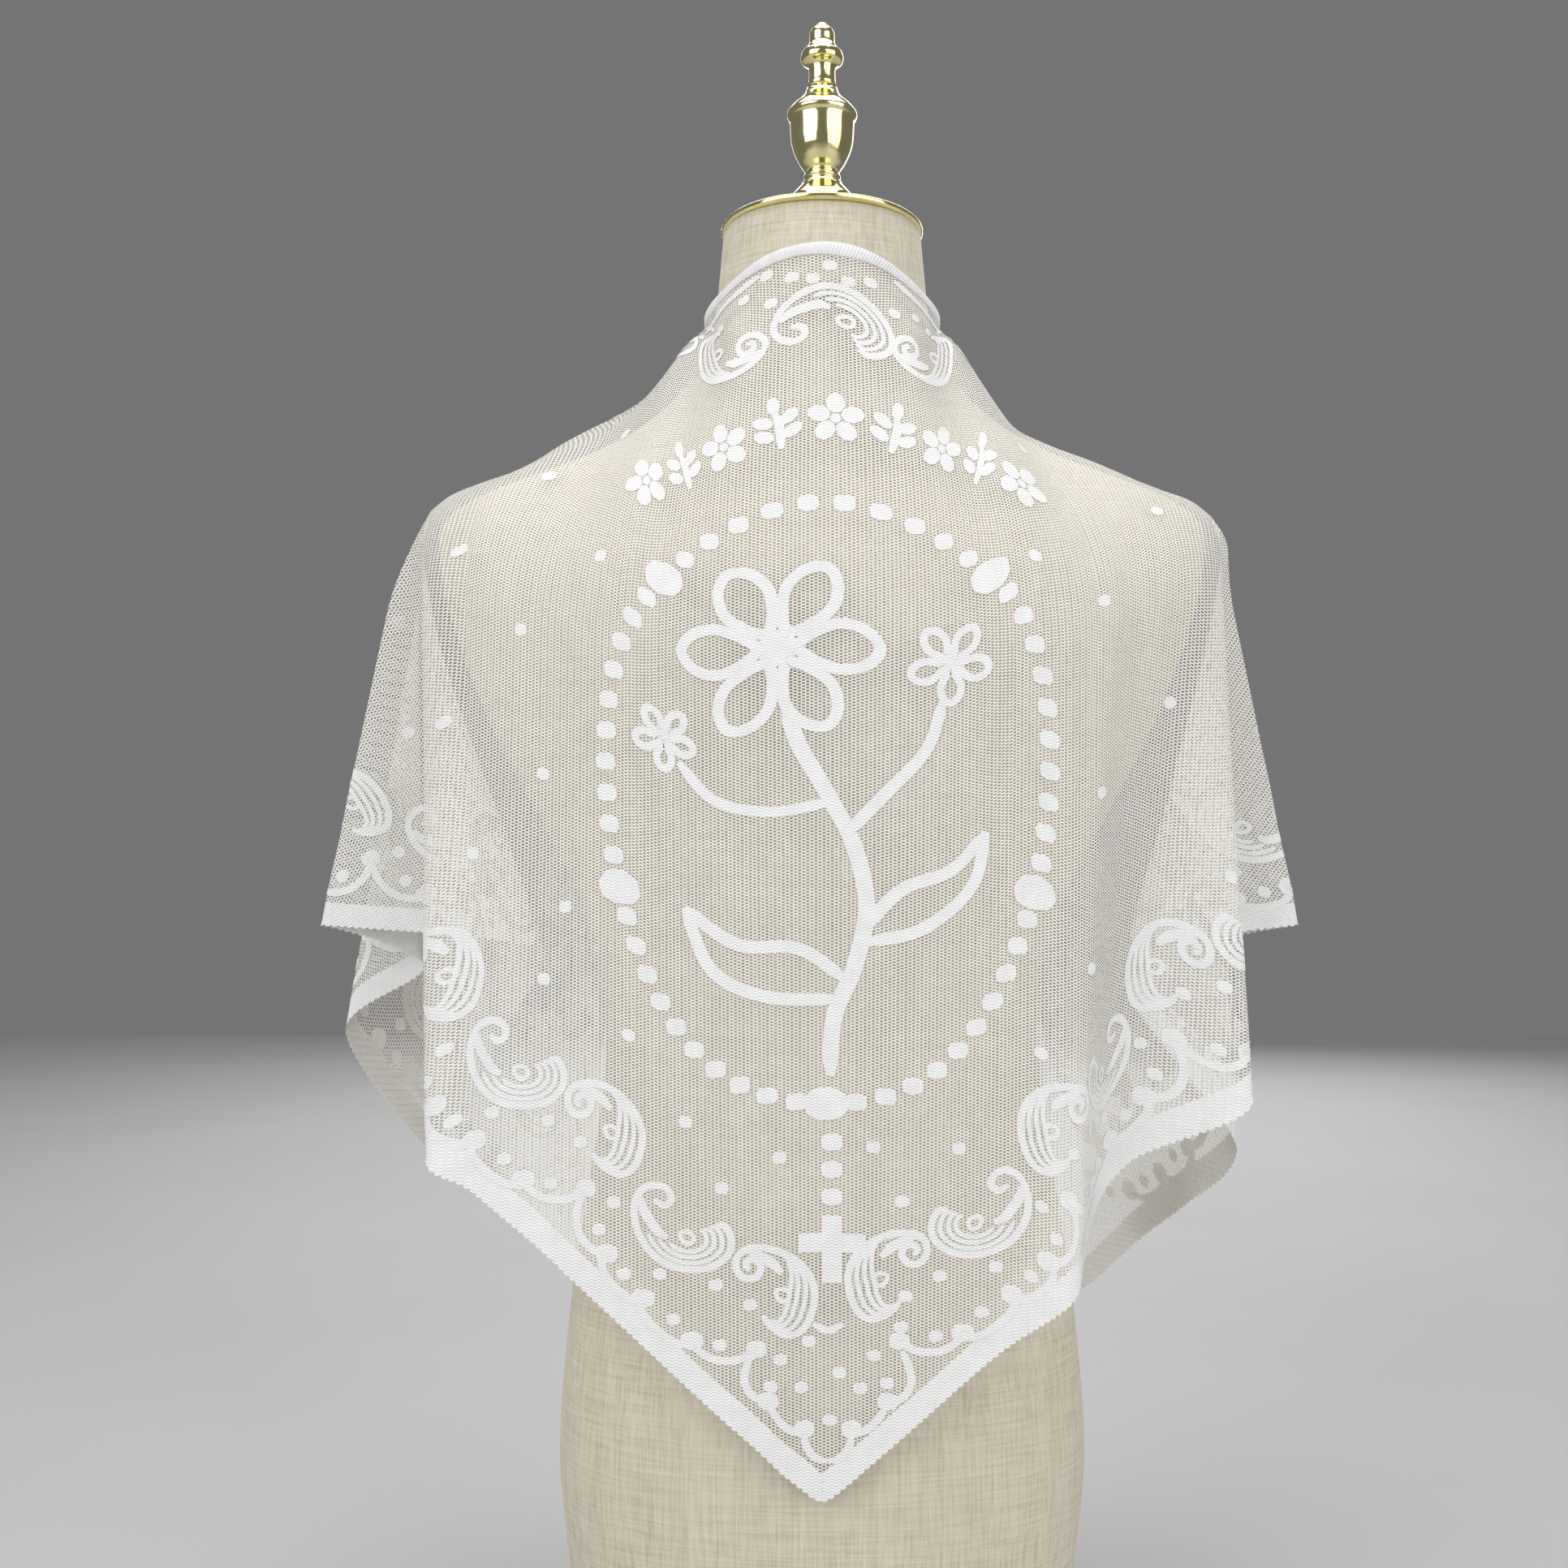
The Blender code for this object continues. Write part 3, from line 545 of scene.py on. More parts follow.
# Shown cloth: place, flat place and normal at every corner of the fine grid
place, flat = both_sides(FINER, fine_rows())
strips, rows = place.shape[:2]
points = place.reshape(-1, 3)
flat_points = flat.reshape(-1, 2)
quads = grid_faces(strips, rows)
across = np.gradient(place, axis=0)
down = np.gradient(place, axis=1)
normals = np.cross(down.reshape(-1, 3), across.reshape(-1, 3))
length = np.linalg.norm(normals, axis=1, keepdims=True)
normals = normals / np.maximum(length, 1e-12)
grid_normals = normals.reshape(strips, rows, 3)
# Strips that meet at the shoulder tip share no width there, so they take the normal a little lower down
grid_normals[:, :3] = grid_normals[:, 3:4]
normals = grid_normals.reshape(-1, 3)
if normals[(strips // 2) * rows + rows // 2][1] > 0:
    normals = -normals
    quads = quads[:, ::-1]
points = to_world(points + normals * crease(flat_points)[:, None])

flat_tree = BVHTree.FromPolygons([(s, t, 0.0) for s, t in flat_points.tolist()], quads.tolist())


def on_cloth(where, out):
    """Places on the hanging cloth for places on the flat cut, each moved out along the normal."""
    found = np.empty((len(where), 3))
    for k, (s, t) in enumerate(where):
        face = flat_tree.find_nearest((float(s), float(t), 0.0))[2]
        a, b, c, d = quads[face]
        best = None
        for tri in ([a, b, c], [a, c, d]):
            corner = flat_points[tri[0]]
            (e, f), (g, h) = flat_points[tri[1:]] - corner
            det = e * h - g * f
            if abs(det) < 1e-14:
                continue
            x, y = (s, t) - corner
            u, v = (h * x - g * y) / det, (e * y - f * x) / det
            miss = max(0.0, -u, -v, u + v - 1)
            if best is None or miss < best[0]:
                best = (miss, tri, u, v)
        _, tri, u, v = best
        u, v = max(-0.5, min(1.5, u)), max(-0.5, min(1.5, v))
        w = np.array([1 - u - v, u, v])
        normal = w @ normals[tri]
        normal /= max(np.linalg.norm(normal), 1e-9)
        found[k] = w @ points[tri] + normal * out[k]
    return found


class Patches:
    """Dense knitted patches on the net, gathered into one object, each a little over the one before."""

    def __init__(self):
        self.flat, self.lift, self.faces = [], [], []
        self.laid = 0

    def add(self, points, faces):
        base = len(self.flat)
        self.flat += points
        self.lift += [NEXT_LIFT * (self.laid % 6)] * len(points)
        self.laid += 1
        self.faces += [[base + i for i in face] for face in faces]

    def grid(self, block):
        self.add(block.reshape(-1, 2).tolist(), grid_faces(*block.shape[:2]).tolist())

    def stroke(self, line, width, closed=False):
        """A line of knit whose two sides step in and out with the meshes."""
        line = np.asarray(line, float)
        if closed:
            line = np.vstack([line, line[:1]])
        line = curve_through(line, STEP, closed)
        along = np.gradient(line, axis=0)
        if closed:
            along[0] = along[-1] = line[1] - line[-2]
        along /= np.maximum(np.linalg.norm(along, axis=1, keepdims=True), 1e-12)
        side = np.stack([-along[:, 1], along[:, 0]], 1)
        run = run_along(line)
        half = np.full(len(line), width / 2)
        if not closed:
            ends = np.minimum(run, run[-1] - run)
            half *= 0.55 + 0.45 * np.clip(ends / (1.2 * width), 0, 1)
        step = TOOTH * np.where(np.arange(len(line)) % 2 == 0, 1.0, -1.0)
        if closed:
            step[-1] = step[0]
        sides = [line + side * (half + step)[:, None], line - side * (half - step)[:, None]]
        self.grid(np.stack(sides, 1))

    def blob(self, middle, half, turn=0.0, corners=16, square=2.6):
        c, s = math.cos(turn), math.sin(turn)
        points = [list(middle)]
        for k in range(corners):
            a = TAU * (k + 0.5) / corners
            step = TOOTH * 0.8 * (1 if k % 2 == 0 else -1)
            x = (half[0] + step) * math.copysign(abs(math.cos(a)) ** (2 / square), math.cos(a))
            y = (half[1] + step) * math.copysign(abs(math.sin(a)) ** (2 / square), math.sin(a))
            points.append([middle[0] + c * x - s * y, middle[1] + s * x + c * y])
        self.add(points, [[0, 1 + k, 1 + (k + 1) % corners] for k in range(corners)])

    def build(self, name, out):
        flat = np.array(self.flat)
        return new_object(name, on_cloth(flat, out + np.array(self.lift)), self.faces, flat)


def curve_through(line, spacing, closed=False):
    """A smooth line through the points, in steps of about the spacing."""
    n = len(line)
    out = []
    for k in range(n - 1):
        p1, p2 = line[k], line[k + 1]
        p0 = line[k - 1] if k else (line[-2] if closed else 2 * p1 - p2)
        p3 = line[k + 2] if k + 2 < n else (line[1] if closed else 2 * p2 - p1)
        count = max(1, int(math.ceil(np.linalg.norm(p2 - p1) / spacing)))
        for f in np.arange(count) / count:
            out.append(0.5 * (2 * p1 + (p2 - p0) * f + (2 * p0 - 5 * p1 + 4 * p2 - p3) * f * f
                              + (3 * p1 - p0 - 3 * p2 + p3) * f**3))
    out.append(line[-1])
    return np.array(out)


# Edges of the cut: start, direction along, direction in
LEG = math.hypot(HALF_EDGE, DEPTH)
POINT = np.array([0.0, DEPTH])
EDGES = {
    "long": (np.array([-HALF_EDGE, 0.0]), np.array([1.0, 0.0]), np.array([0.0, 1.0])),
    "right": (POINT, np.array([HALF_EDGE, -DEPTH]) / LEG, np.array([-DEPTH, -HALF_EDGE]) / LEG),
    "left": (POINT, np.array([-HALF_EDGE, -DEPTH]) / LEG, np.array([DEPTH, -HALF_EDGE]) / LEG),
}


def edge_point(edge, along, inward):
    start, run, into = EDGES[edge]
    return start + run * along + into * inward


def clear_of(edge, point):
    """How far a flat place lies in from the nearest edge other than its own."""
    return min(float((point - start) @ into) for name, (start, _, into) in EDGES.items() if name != edge)


def nested_lines(kind):
    """The lines inside a feather's body: the outline drawn in towards a focus, or towards its own chord."""
    body = curve_through(np.array(kind["outer"][kind["first"]:], float), 0.02)
    share = np.linspace(0, 1, len(body))[:, None]
    if kind["is_open"]:
        focus = np.array(kind["drop"])
        return [(focus + (body - focus) * (1 - f))[int(len(body) * 0.3 * f):] for f in NESTED]
    chord = body[0] * (1 - share) + body[-1] * share
    pull = np.sin(math.pi * share) ** 0.55
    return [(body + (chord - body) * f * pull)[1:-1] for f in NESTED]


def feather(kind, middle, ahead, into, wide):
    """One curled feather; ahead is the way from its hook to its open end, into the way in from the edge."""
    def laid(line):
        line = np.asarray(line, float) * FEATHER
        return middle + wide * line[:, :1] * ahead + line[:, 1:] * into

    border.stroke(laid(kind["outer"]), FEATHER_LINE)
    for line in nested_lines(kind):
        border.stroke(laid(line), FINE_LINE)
    border.stroke(laid(kind["wedge"]), WEDGE_LINE)
    border.stroke(laid(np.array(DROP) + kind["drop"]), FINE_LINE, closed=True)


border, bands, beads, spray = Patches(), Patches(), Patches(), Patches()

# Dense knitted band along the hem and round the point
hem = flat[:, -1]
hem_run = run_along(hem)
steps = np.arange(0.006, hem_run[-1] - 0.006, BAND_STEP)
hem = np.stack([np.interp(steps, hem_run, hem[:, k]) for k in (0, 1)], 1)
along = np.gradient(hem, axis=0)
for _ in range(6):
    along[1:-1] = (along[:-2] + 2 * along[1:-1] + along[2:]) / 4
along = unit(along)
inward = np.stack([along[:, 1], -along[:, 0]], 1)
if inward[len(inward) // 2][1] > 0:
    inward = -inward
block = []
for k, a in enumerate(steps):
    tooth = 0.0011 * (k % 3 == 0)
    near = min(a, hem_run[-1] - a)
    depth = BAND * min(1.0, 0.35 + near / 0.03) + 0.0004 * math.sin(a / 0.0042 * TAU)
    block.append([hem[k] + inward[k] * w for w in (tooth - 0.0009, *BAND_ROWS, depth)])
bands.grid(np.array(block))


def border_repeat(edge, cusp, away, squeeze=1.0, wide=1.0, parts=4, lag=0.0, scallops=True):
    """Scallops, buds, dots and two feathers from a cusp on; away is the way from the point or the nape."""
    def spot(u, depth):
        return edge_point(edge, cusp + away * u * wide, depth * squeeze)

    if scallops:
        for arc in ARCS[:parts]:
            line = [spot(u, d) for u, d in arc]
            if min(clear_of(edge, p) for p in line) > ROOM[edge]:
                border.stroke(line, LINE)
        for u, d, *half in BUDS_AT[: parts + 1]:
            if clear_of(edge, spot(u, d)) > ROOM[edge]:
                border.blob(spot(u, d), half)
        for u, d in DOTS:
            if clear_of(edge, spot(u, d)) > ROOM[edge] and u < PART * parts:
                border.blob(spot(u, d), DOT)
    _, run, into = EDGES[edge]
    for kind, u in FEATHERS_AT:
        middle = spot(u + lag, kind["middle"])
        if clear_of(edge, middle) > FEATHER_ROOM and u < PART * parts:
            feather(kind, middle, -away * run, into, NECK_FEATHER if edge == "long" else 1.0)


# Both hems repeat away from the point, and the neck edge outwards from beside the nape
for edge, first, lag in HEM_STARTS:
    for k in range(int((LEG - 0.1) / REPEAT)):
        border_repeat(edge, first + k * REPEAT, 1, lag=lag)
lower, longer = NECK_SQUEEZE, NECK_WIDE
for k in range(NECK_REPEATS):
    border_repeat("long", HALF_EDGE + NECK_RIGHT + k * REPEAT * longer, -1, lower, longer, scallops=k > 0)
    border_repeat("long", HALF_EDGE - NECK_LEFT - (k + 1) * REPEAT * longer, 1, lower, longer)
border_repeat("long", HALF_EDGE - NECK_LEFT_SINGLE, 1, lower, longer, parts=1, scallops=False)
for line in NAPE_LINES:
    border.stroke(line, LINE)
for s, t in NAPE_DOTS:
    border.blob((s, t), NAPE_DOT)

# Scallops, buds and dots round the point
for side in (-1, 1):
    for line in POINT_LINES:
        border.stroke([(POINT_S + side * s, t) for s, t in line], LINE)
    for s, t in POINT_BUDS:
        border.blob((POINT_S + side * s, t), POINT_BUD)
for s, t in POINT_DOTS:
    border.blob((POINT_S + s, t), DOT)
border.stroke([(POINT_S + s, t) for s, t in POINT_LINK], LINK_LINE)
for s, t in FIELD_DOTS + [(way * s, t) for s, t in TWIN_DOTS for way in (1, -1)]:
    border.blob((s, t), FIELD_DOT)


def rounded_power(wave, full):
    """A sine or cosine drawn out towards a squarer turn."""
    return np.sign(wave) * np.abs(wave) ** (2 / full)


def up_and_side(angle):
    return np.array([math.sin(angle), -math.cos(angle)]), np.array([math.cos(angle), math.sin(angle)])


def leaf(middle, out, half_long, half_wide, square=2.0):
    half = (half_long * SPRIG, half_wide * SPRIG)
    spray.blob(middle, half, turn=math.atan2(out[1], out[0]), square=square)


# Ring of small beads between large ones on an egg-shaped line
turn = np.linspace(0, TAU, 1441)
reach = np.where(np.cos(turn) > 0, RING_UP, RING_DOWN)
ring = np.stack([RING_S + RING_ACROSS * rounded_power(np.sin(turn), RING_FULL),
                 RING_T - reach * rounded_power(np.cos(turn), RING_FULL)], 1)
ring_run = run_along(ring)
for a, b in zip(LARGE_AT, LARGE_AT[1:] + [LARGE_AT[0] + 1]):
    for k in range(SMALL_BETWEEN + 1):
        at = (a + (b - a) * k / (SMALL_BETWEEN + 1)) % 1.0 * ring_run[-1]
        s, t = np.interp(at, ring_run, ring[:, 0]), np.interp(at, ring_run, ring[:, 1])
        beads.blob((s, t), LARGE_BEAD if k == 0 else BEAD, square=2.2 if k == 0 else 3.0)
for t in PENDANT:
    beads.blob((HANG_S, t), BEAD, square=3.0)
half_bar, half_wide = CROSS_BAR / 2, CROSS_WIDE / 2
arm_top, arm_foot = CROSS_ARM_T - half_bar, CROSS_ARM_T + half_bar
for low, high, left, right in ((CROSS_TOP, CROSS_FOOT, -half_bar, half_bar),
                               (arm_top, arm_foot, -half_wide, -half_bar),
                               (arm_top, arm_foot, half_bar, half_wide)):
    n, m = (max(2, int(span / CROSS_CELL) + 1) for span in (right - left, high - low))
    s, t = np.meshgrid(HANG_S + np.linspace(left, right, n), np.linspace(low, high, m), indexing="ij")
    beads.grid(np.stack([s, t], 2))

# Spray of flowers inside the ring
for line, width in SPRAY:
    spray.stroke([(s, t - SPRAY_UP) for s, t in line], width)
for s0, t0, size, petals, width in BLOOMS:
    middle = np.array([s0, t0 - SPRAY_UP])
    for k in range(petals):
        tip, side = up_and_side(TAU * (k + 0.5) / petals)
        spray.stroke([middle + size * (x * tip + y * side) for x, y in PETAL], width, closed=True)
    spray.blob(middle, (0.16 * size + 0.002, 0.16 * size + 0.002), square=2.0)

# Arc of small sprigs above the ring, a flower and a leafy stem by turns
s0, t0, radius, spread = SPRIG_ARC
for k in range(SPRIGS):
    up, side = up_and_side(math.radians(spread * (2 * k / (SPRIGS - 1) - 1)))
    middle = np.array([s0, t0]) + radius * up
    if k % 2 == 0:
        for j in range(5):
            b = TAU * j / 5
            out = math.cos(b) * up + math.sin(b) * side
            leaf(middle + 0.32 * SPRIG * out, out, 0.21, 0.17, 2.1)
        leaf(middle, (1, 0), 0.1, 0.1)
    else:
        stem = (-0.5 * up, 0.04 * side, 0.3 * up)
        spray.stroke([middle + SPRIG * part for part in stem], SPRIG_STEM)
        for high, wide in ((-0.16, 0.26), (0.14, 0.24)):
            for sign in (-1, 1):
                out = sign * side * 0.9 + up * 0.5
                leaf(middle + SPRIG * (high * up + sign * wide * side), out, 0.2, 0.125)
        leaf(middle + 0.44 * SPRIG * up, up, 0.2, 0.12)

# Shown pieces of the shawl
net = new_object("net_ground", points, quads, flat_points)
doubles = bmesh.new()
doubles.from_mesh(net.data)
bmesh.ops.remove_doubles(doubles, verts=doubles.verts, dist=2e-6)
doubles.to_mesh(net.data)
doubles.free()
net.data.polygons.foreach_set("use_smooth", [True] * len(net.data.polygons))

lace_bands = bands.build("hem_bands", BAND_OUT)
lace_border = border.build("feather_border", BORDER_OUT)
lace_beads = beads.build("bead_ring_and_cross", MOTIF_OUT)
lace_spray = spray.build("flower_spray", MOTIF_OUT)


def neck_roll():
    """The folded and stitched long edge, a little uneven along its length."""
    middle = sum(row[6] for row in LEFT_FOLDS) * FINER
    nape = [sum(row[6] for row in folds[:3]) * FINER for folds in (LEFT_FOLDS, RIGHT_FOLDS)]
    cells = [(0, j) for j in range(rows - 1, 0, -1)]
    cells += [(i, 0) for i in range(middle - nape[0], middle + nape[1] + 1)]
    cells += [(strips - 1, j) for j in range(1, rows)]
    inner = [(6, j) if i == 0 else (strips - 7, j) if i == strips - 1 else (i, 5) for i, j in cells]
    shaped = points.reshape(strips, rows, 3)
    line = np.array([shaped[cell] for cell in cells])
    out = line - np.array([shaped[cell] for cell in inner])
    up = np.array([normals.reshape(strips, rows, 3)[i, max(j, 4)] for i, j in cells])
    for _ in range(12):
        out[1:-1] = unit(out[:-2]) + unit(out[1:-1]) * 2 + unit(out[2:])
        up[1:-1] = up[:-2] + 2 * up[1:-1] + up[2:]
        up = unit(up)
    along = unit(np.gradient(line, axis=0))
    out = unit(out - along * (out * along).sum(1, keepdims=True))
    up = unit(up - along * (up * along).sum(1, keepdims=True) - out * (up * out).sum(1, keepdims=True))
    run = run_along(line)
    turn = np.arange(ROLL_AROUND) / ROLL_AROUND * TAU
    ring_points, uv = [], []
    for k in range(len(line)):
        wide = HEM_HALF_WIDTH * (1 + 0.07 * math.sin(run[k] * 61) + 0.05 * math.sin(run[k] * 143 + 1))
        thick = HEM_HALF_THICK * (1 + 0.1 * math.sin(run[k] * 97 + 2))
        centre = line[k] + out[k] * (SEAM_GAP + HEM_HALF_WIDTH)
        for a in turn:
            # A stitched dent runs along the inner side of the fold
            dent = 1 - 0.3 * math.exp(-(((math.cos(a) + 0.55) / 0.22) ** 2)) * abs(math.sin(a))
            ring_points.append(centre + wide * math.cos(a) * out[k] + thick * dent * math.sin(a) * up[k])
            uv.append((run[k], a / TAU * ROLL_GIRTH))
    faces = rings_to_faces(len(line), ROLL_AROUND) + end_faces(len(line), ROLL_AROUND)
    return new_object("neck_edge_roll", ring_points, faces, uv)


roll = neck_roll()


def fine_torso():
    """The form between its rows, drawn smooth, with a flat underside."""
    table = np.array(TORSO)
    levels = np.linspace(TORSO[0][0], TORSO[-1][0], FORM_LEVELS)
    levels = np.unique(np.concatenate([levels, table[:, 0]]))
    shape = smooth_through(table[:, 0], table[:, 1:], levels)
    turn = np.arange(FORM_AROUND) / FORM_AROUND * TAU
    c, s = np.cos(turn), np.sin(turn)
    rings = []
    for z, (half, behind, before, lean, full) in zip(levels, shape):
        x = half * rounded_power(c, full)
        y = np.where(s < 0, behind, before) * rounded_power(s, full)
        rings.append(np.stack([x, y, z - y * math.tan(math.radians(lean))], 1))
    faces = rings_to_faces(len(rings), FORM_AROUND) + end_faces(len(rings), FORM_AROUND)
    return new_object("linen_torso", to_world(np.concatenate(rings)), faces)


def fine_lathed(name, profile):
    """A turned piece about the leaning axis of the neck cap, its profile eased between the rows."""
    count = TURNED_AROUND
    turn = np.arange(count) / count * TAU
    lean = math.radians(LEAN)
    axis = np.array([0.0, math.sin(lean), math.cos(lean)])
    side = np.array([0.0, math.cos(lean), -math.sin(lean)])
    base = np.array([0.0, CAP_Y, CAP_Z])
    table = np.array(profile)
    inner = table[1:-1]
    eased = [inner[0]]
    for before, here, after in zip(inner, inner[1:], inner[2:]):
        a, b = here + (before - here) * EASE, here + (after - here) * EASE
        eased += [(1 - f) ** 2 * a + 2 * f * (1 - f) * here + f * f * b for f in (0, 0.33, 0.67, 1)]
    eased.append(inner[-1])
    around = [math.cos(a) * np.array([1.0, 0.0, 0.0]) + math.sin(a) * side for a in turn]
    ring_points = [base + axis * table[0][1]]
    ring_points += [base + axis * height + radius * way for radius, height in eased for way in around]
    ring_points.append(base + axis * table[-1][1])
    last = len(ring_points) - 1
    faces = [[0, 1 + (i + 1) % count, 1 + i] for i in range(count)]
    faces += rings_to_faces(len(eased), count, 1)
    faces += [[last, last - count + i, last - count + (i + 1) % count] for i in range(count)]
    return new_object(name, to_world(ring_points), faces)


torso = fine_torso()
cap = fine_lathed("brass_cap", CAP)
foot = fine_lathed("brass_foot", FOOT)
urn = fine_lathed("brass_urn", URN)
knob = fine_lathed("brass_knob", KNOB)


class Nodes:
    """A small helper for building node materials."""

    def __init__(self, name):
        self.mat = bpy.data.materials.new(name)
        self.mat.use_nodes = True
        self.tree = self.mat.node_tree
        self.bsdf = self.tree.nodes["Principled BSDF"]

    def new(self, kind, **settings):
        node = self.tree.nodes.new(kind)
        for key, value in settings.items():
            setattr(node, key, value)
        return node

    def put(self, socket, value):
        if hasattr(value, "is_output"):
            self.tree.links.new(value, socket)
        elif value is not None:
            socket.default_value = value

    def math(self, kind, a, b=None):
        node = self.new("ShaderNodeMath", operation=kind)
        for socket, value in zip(node.inputs, (a, b)):
            self.put(socket, value)
        return node.outputs[0]

    def look(self, values):
        for name, value in values.items():
            self.put(self.bsdf.inputs[name], value)

    def wave(self, value, length):
        return self.math("SINE", self.times(value, TAU / length))

    def times(self, a, b):
        return self.math("MULTIPLY", a, b)

    def plus(self, a, b):
        return self.math("ADD", a, b)

    def stretched(self, scale):
        node = self.new("ShaderNodeMapping")
        self.put(node.inputs["Vector"], self.place())
        node.inputs["Scale"].default_value = scale
        return node.outputs["Vector"]

    def noise(self, vector, scale, detail=3.0):
        node = self.new("ShaderNodeTexNoise")
        self.put(node.inputs["Vector"], vector)
        node.inputs["Scale"].default_value = scale
        node.inputs["Detail"].default_value = detail
        return node.outputs["Fac"]

    def ramp(self, fac, stops):
        node = self.new("ShaderNodeValToRGB")
        self.put(node.inputs["Fac"], fac)
        elements = node.color_ramp.elements
        while len(elements) < len(stops):
            elements.new(0.5)
        for element, (at, colour) in zip(elements, stops):
            element.position = at
            element.color = (*colour, 1.0)
        return node.outputs["Color"]

    def bump(self, height, strength, distance):
        node = self.new("ShaderNodeBump")
        self.put(node.inputs["Height"], height)
        node.inputs["Strength"].default_value = strength
        node.inputs["Distance"].default_value = distance
        self.put(self.bsdf.inputs["Normal"], node.outputs["Normal"])

    def uv(self):
        node = self.new("ShaderNodeUVMap", uv_map="Flat")
        split = self.new("ShaderNodeSeparateXYZ")
        self.tree.links.new(node.outputs["UV"], split.inputs[0])
        return node.outputs["UV"], split.outputs["X"], split.outputs["Y"]

    def place(self):
        return self.new("ShaderNodeTexCoord").outputs["Object"]


# Colours of each material, from its darker to its lighter places
# The net's warm tint is partly the thread's own white and partly painted light bounced up from the linen
# behind it.
NET_AND_BOUNCE_TONES = [(0.3, (0.915, 0.9, 0.855)), (0.7, (0.96, 0.945, 0.9))]
DENSE_TONES = [(0.2, (0.86, 0.86, 0.86)), (0.75, (0.95, 0.95, 0.945))]
ROLL_TONES = [(0.2, (0.84, 0.84, 0.84)), (0.75, (0.95, 0.95, 0.945))]
LINEN_TONES = [(0.3, (0.53, 0.47, 0.36)), (0.5, (0.675, 0.62, 0.495)), (0.7, (0.77, 0.72, 0.59))]
BRASS_TONES = [(0.35, (0.86, 0.76, 0.34)), (0.65, (0.95, 0.88, 0.5))]
FLOOR_TONES = [(0.3, (0.5, 0.5, 0.5)), (0.7, (0.53, 0.53, 0.53))]
# How much light a thread of the net holds back, and the length of one stitch of the roll
NET_COVER = 0.96
ROLL_STITCH = 0.0019


def thread_look(nodes, tone, colours):
    nodes.look({"Base Color": nodes.ramp(tone, colours), "Roughness": 0.62, "Sheen Weight": 0.25,
                "Sheen Roughness": 0.4, "Specular IOR Level": 0.35})


def net_material():
    """Open meshes in staggered columns, with a fine rib across."""
    nodes = Nodes("knitted_net")
    uv, s, t = nodes.uv()
    column = nodes.math("DIVIDE", s, MESH_ACROSS)
    whole = nodes.math("FLOOR", column)
    fx = nodes.math("SUBTRACT", nodes.math("FRACT", column), 0.5)
    shift = nodes.times(nodes.math("FLOORED_MODULO", whole, 2.0), 0.5)
    row = nodes.plus(nodes.math("DIVIDE", t, MESH_DOWN), shift)
    fy = nodes.math("SUBTRACT", nodes.math("FRACT", row), 0.5)
    px = nodes.math("DIVIDE", fx, HOLE_ACROSS / MESH_ACROSS / 2)
    py = nodes.math("DIVIDE", fy, HOLE_DOWN / MESH_DOWN / 2)
    solid = nodes.math("GREATER_THAN", nodes.plus(nodes.times(px, px), nodes.times(py, py)), 1.0)
    nodes.look({"Alpha": nodes.times(solid, NET_COVER)})
    # Thread colour: its own white, warmed with painted bounce light from the linen.
    thread_look(nodes, nodes.noise(uv, 60.0), NET_AND_BOUNCE_TONES)
    nodes.bump(nodes.wave(t, MESH_DOWN), 0.25, 0.0002)
    return nodes.mat


def dense_material():
    """Rows of knit that wave with the meshes, each row painted darker in its trough as shade between the
    rows.
    """
    nodes = Nodes("dense_knit")
    uv, s, t = nodes.uv()
    row = nodes.plus(nodes.math("DIVIDE", t, MESH_DOWN), nodes.times(nodes.wave(s, 2 * MESH_ACROSS), 0.25))
    rib = nodes.wave(row, 1)
    # The rib also darkens the colour in its troughs: painted shade between the rows of knit.
    thread_look(nodes, nodes.plus(nodes.times(rib, 0.22), nodes.noise(uv, 90.0)), DENSE_TONES)
    nodes.bump(rib, 0.45, 0.0003)
    return nodes.mat


def roll_material():
    """Slanting stitches round the folded edge, painted darker in the grooves between them as shade."""
    nodes = Nodes("folded_edge")
    uv, s, t = nodes.uv()
    rib = nodes.wave(nodes.plus(s, nodes.times(t, 0.35)), ROLL_STITCH)
    # The stitch rib also darkens the colour in its grooves: painted shade between the stitches.
    thread_look(nodes, nodes.plus(nodes.times(rib, 0.16), nodes.noise(uv, 140.0)), ROLL_TONES)
    nodes.bump(rib, 0.5, 0.0004)
    return nodes.mat


def linen_material():
    """Plain weave with slubs: threads across, threads upright and long streaks."""
    nodes = Nodes("linen")
    weft = nodes.noise(nodes.stretched((0.25, 0.25, 6.0)), 120.0)
    warp = nodes.noise(nodes.stretched((6.0, 6.0, 0.25)), 120.0)
    streak = nodes.noise(nodes.stretched((4.0, 4.0, 0.12)), 40.0, 2.0)
    weave = nodes.plus(nodes.times(weft, 0.45), nodes.times(warp, 0.55))
    tone = nodes.plus(weave, nodes.times(nodes.math("SUBTRACT", streak, 0.5), 0.22))
    nodes.look({"Base Color": nodes.ramp(tone, LINEN_TONES), "Roughness": 0.85, "Sheen Weight": 0.15})
    nodes.bump(weave, 0.25, 0.0003)
    return nodes.mat


def brass_material():
    nodes = Nodes("polished_brass")
    smear = nodes.noise(nodes.place(), 55.0)
    nodes.look({"Base Color": nodes.ramp(smear, BRASS_TONES), "Metallic": 1.0,
                "Roughness": nodes.plus(nodes.times(smear, 0.12), 0.06)})
    return nodes.mat


knit = dense_material()
for obj, mat in ((net, net_material()), (lace_bands, knit), (lace_border, knit), (lace_beads, knit),
                 (lace_spray, knit), (roll, roll_material()), (torso, linen_material())):
    obj.data.materials.append(mat)
metal = brass_material()
for obj in (cap, foot, urn, knob):
    obj.data.materials.append(metal)

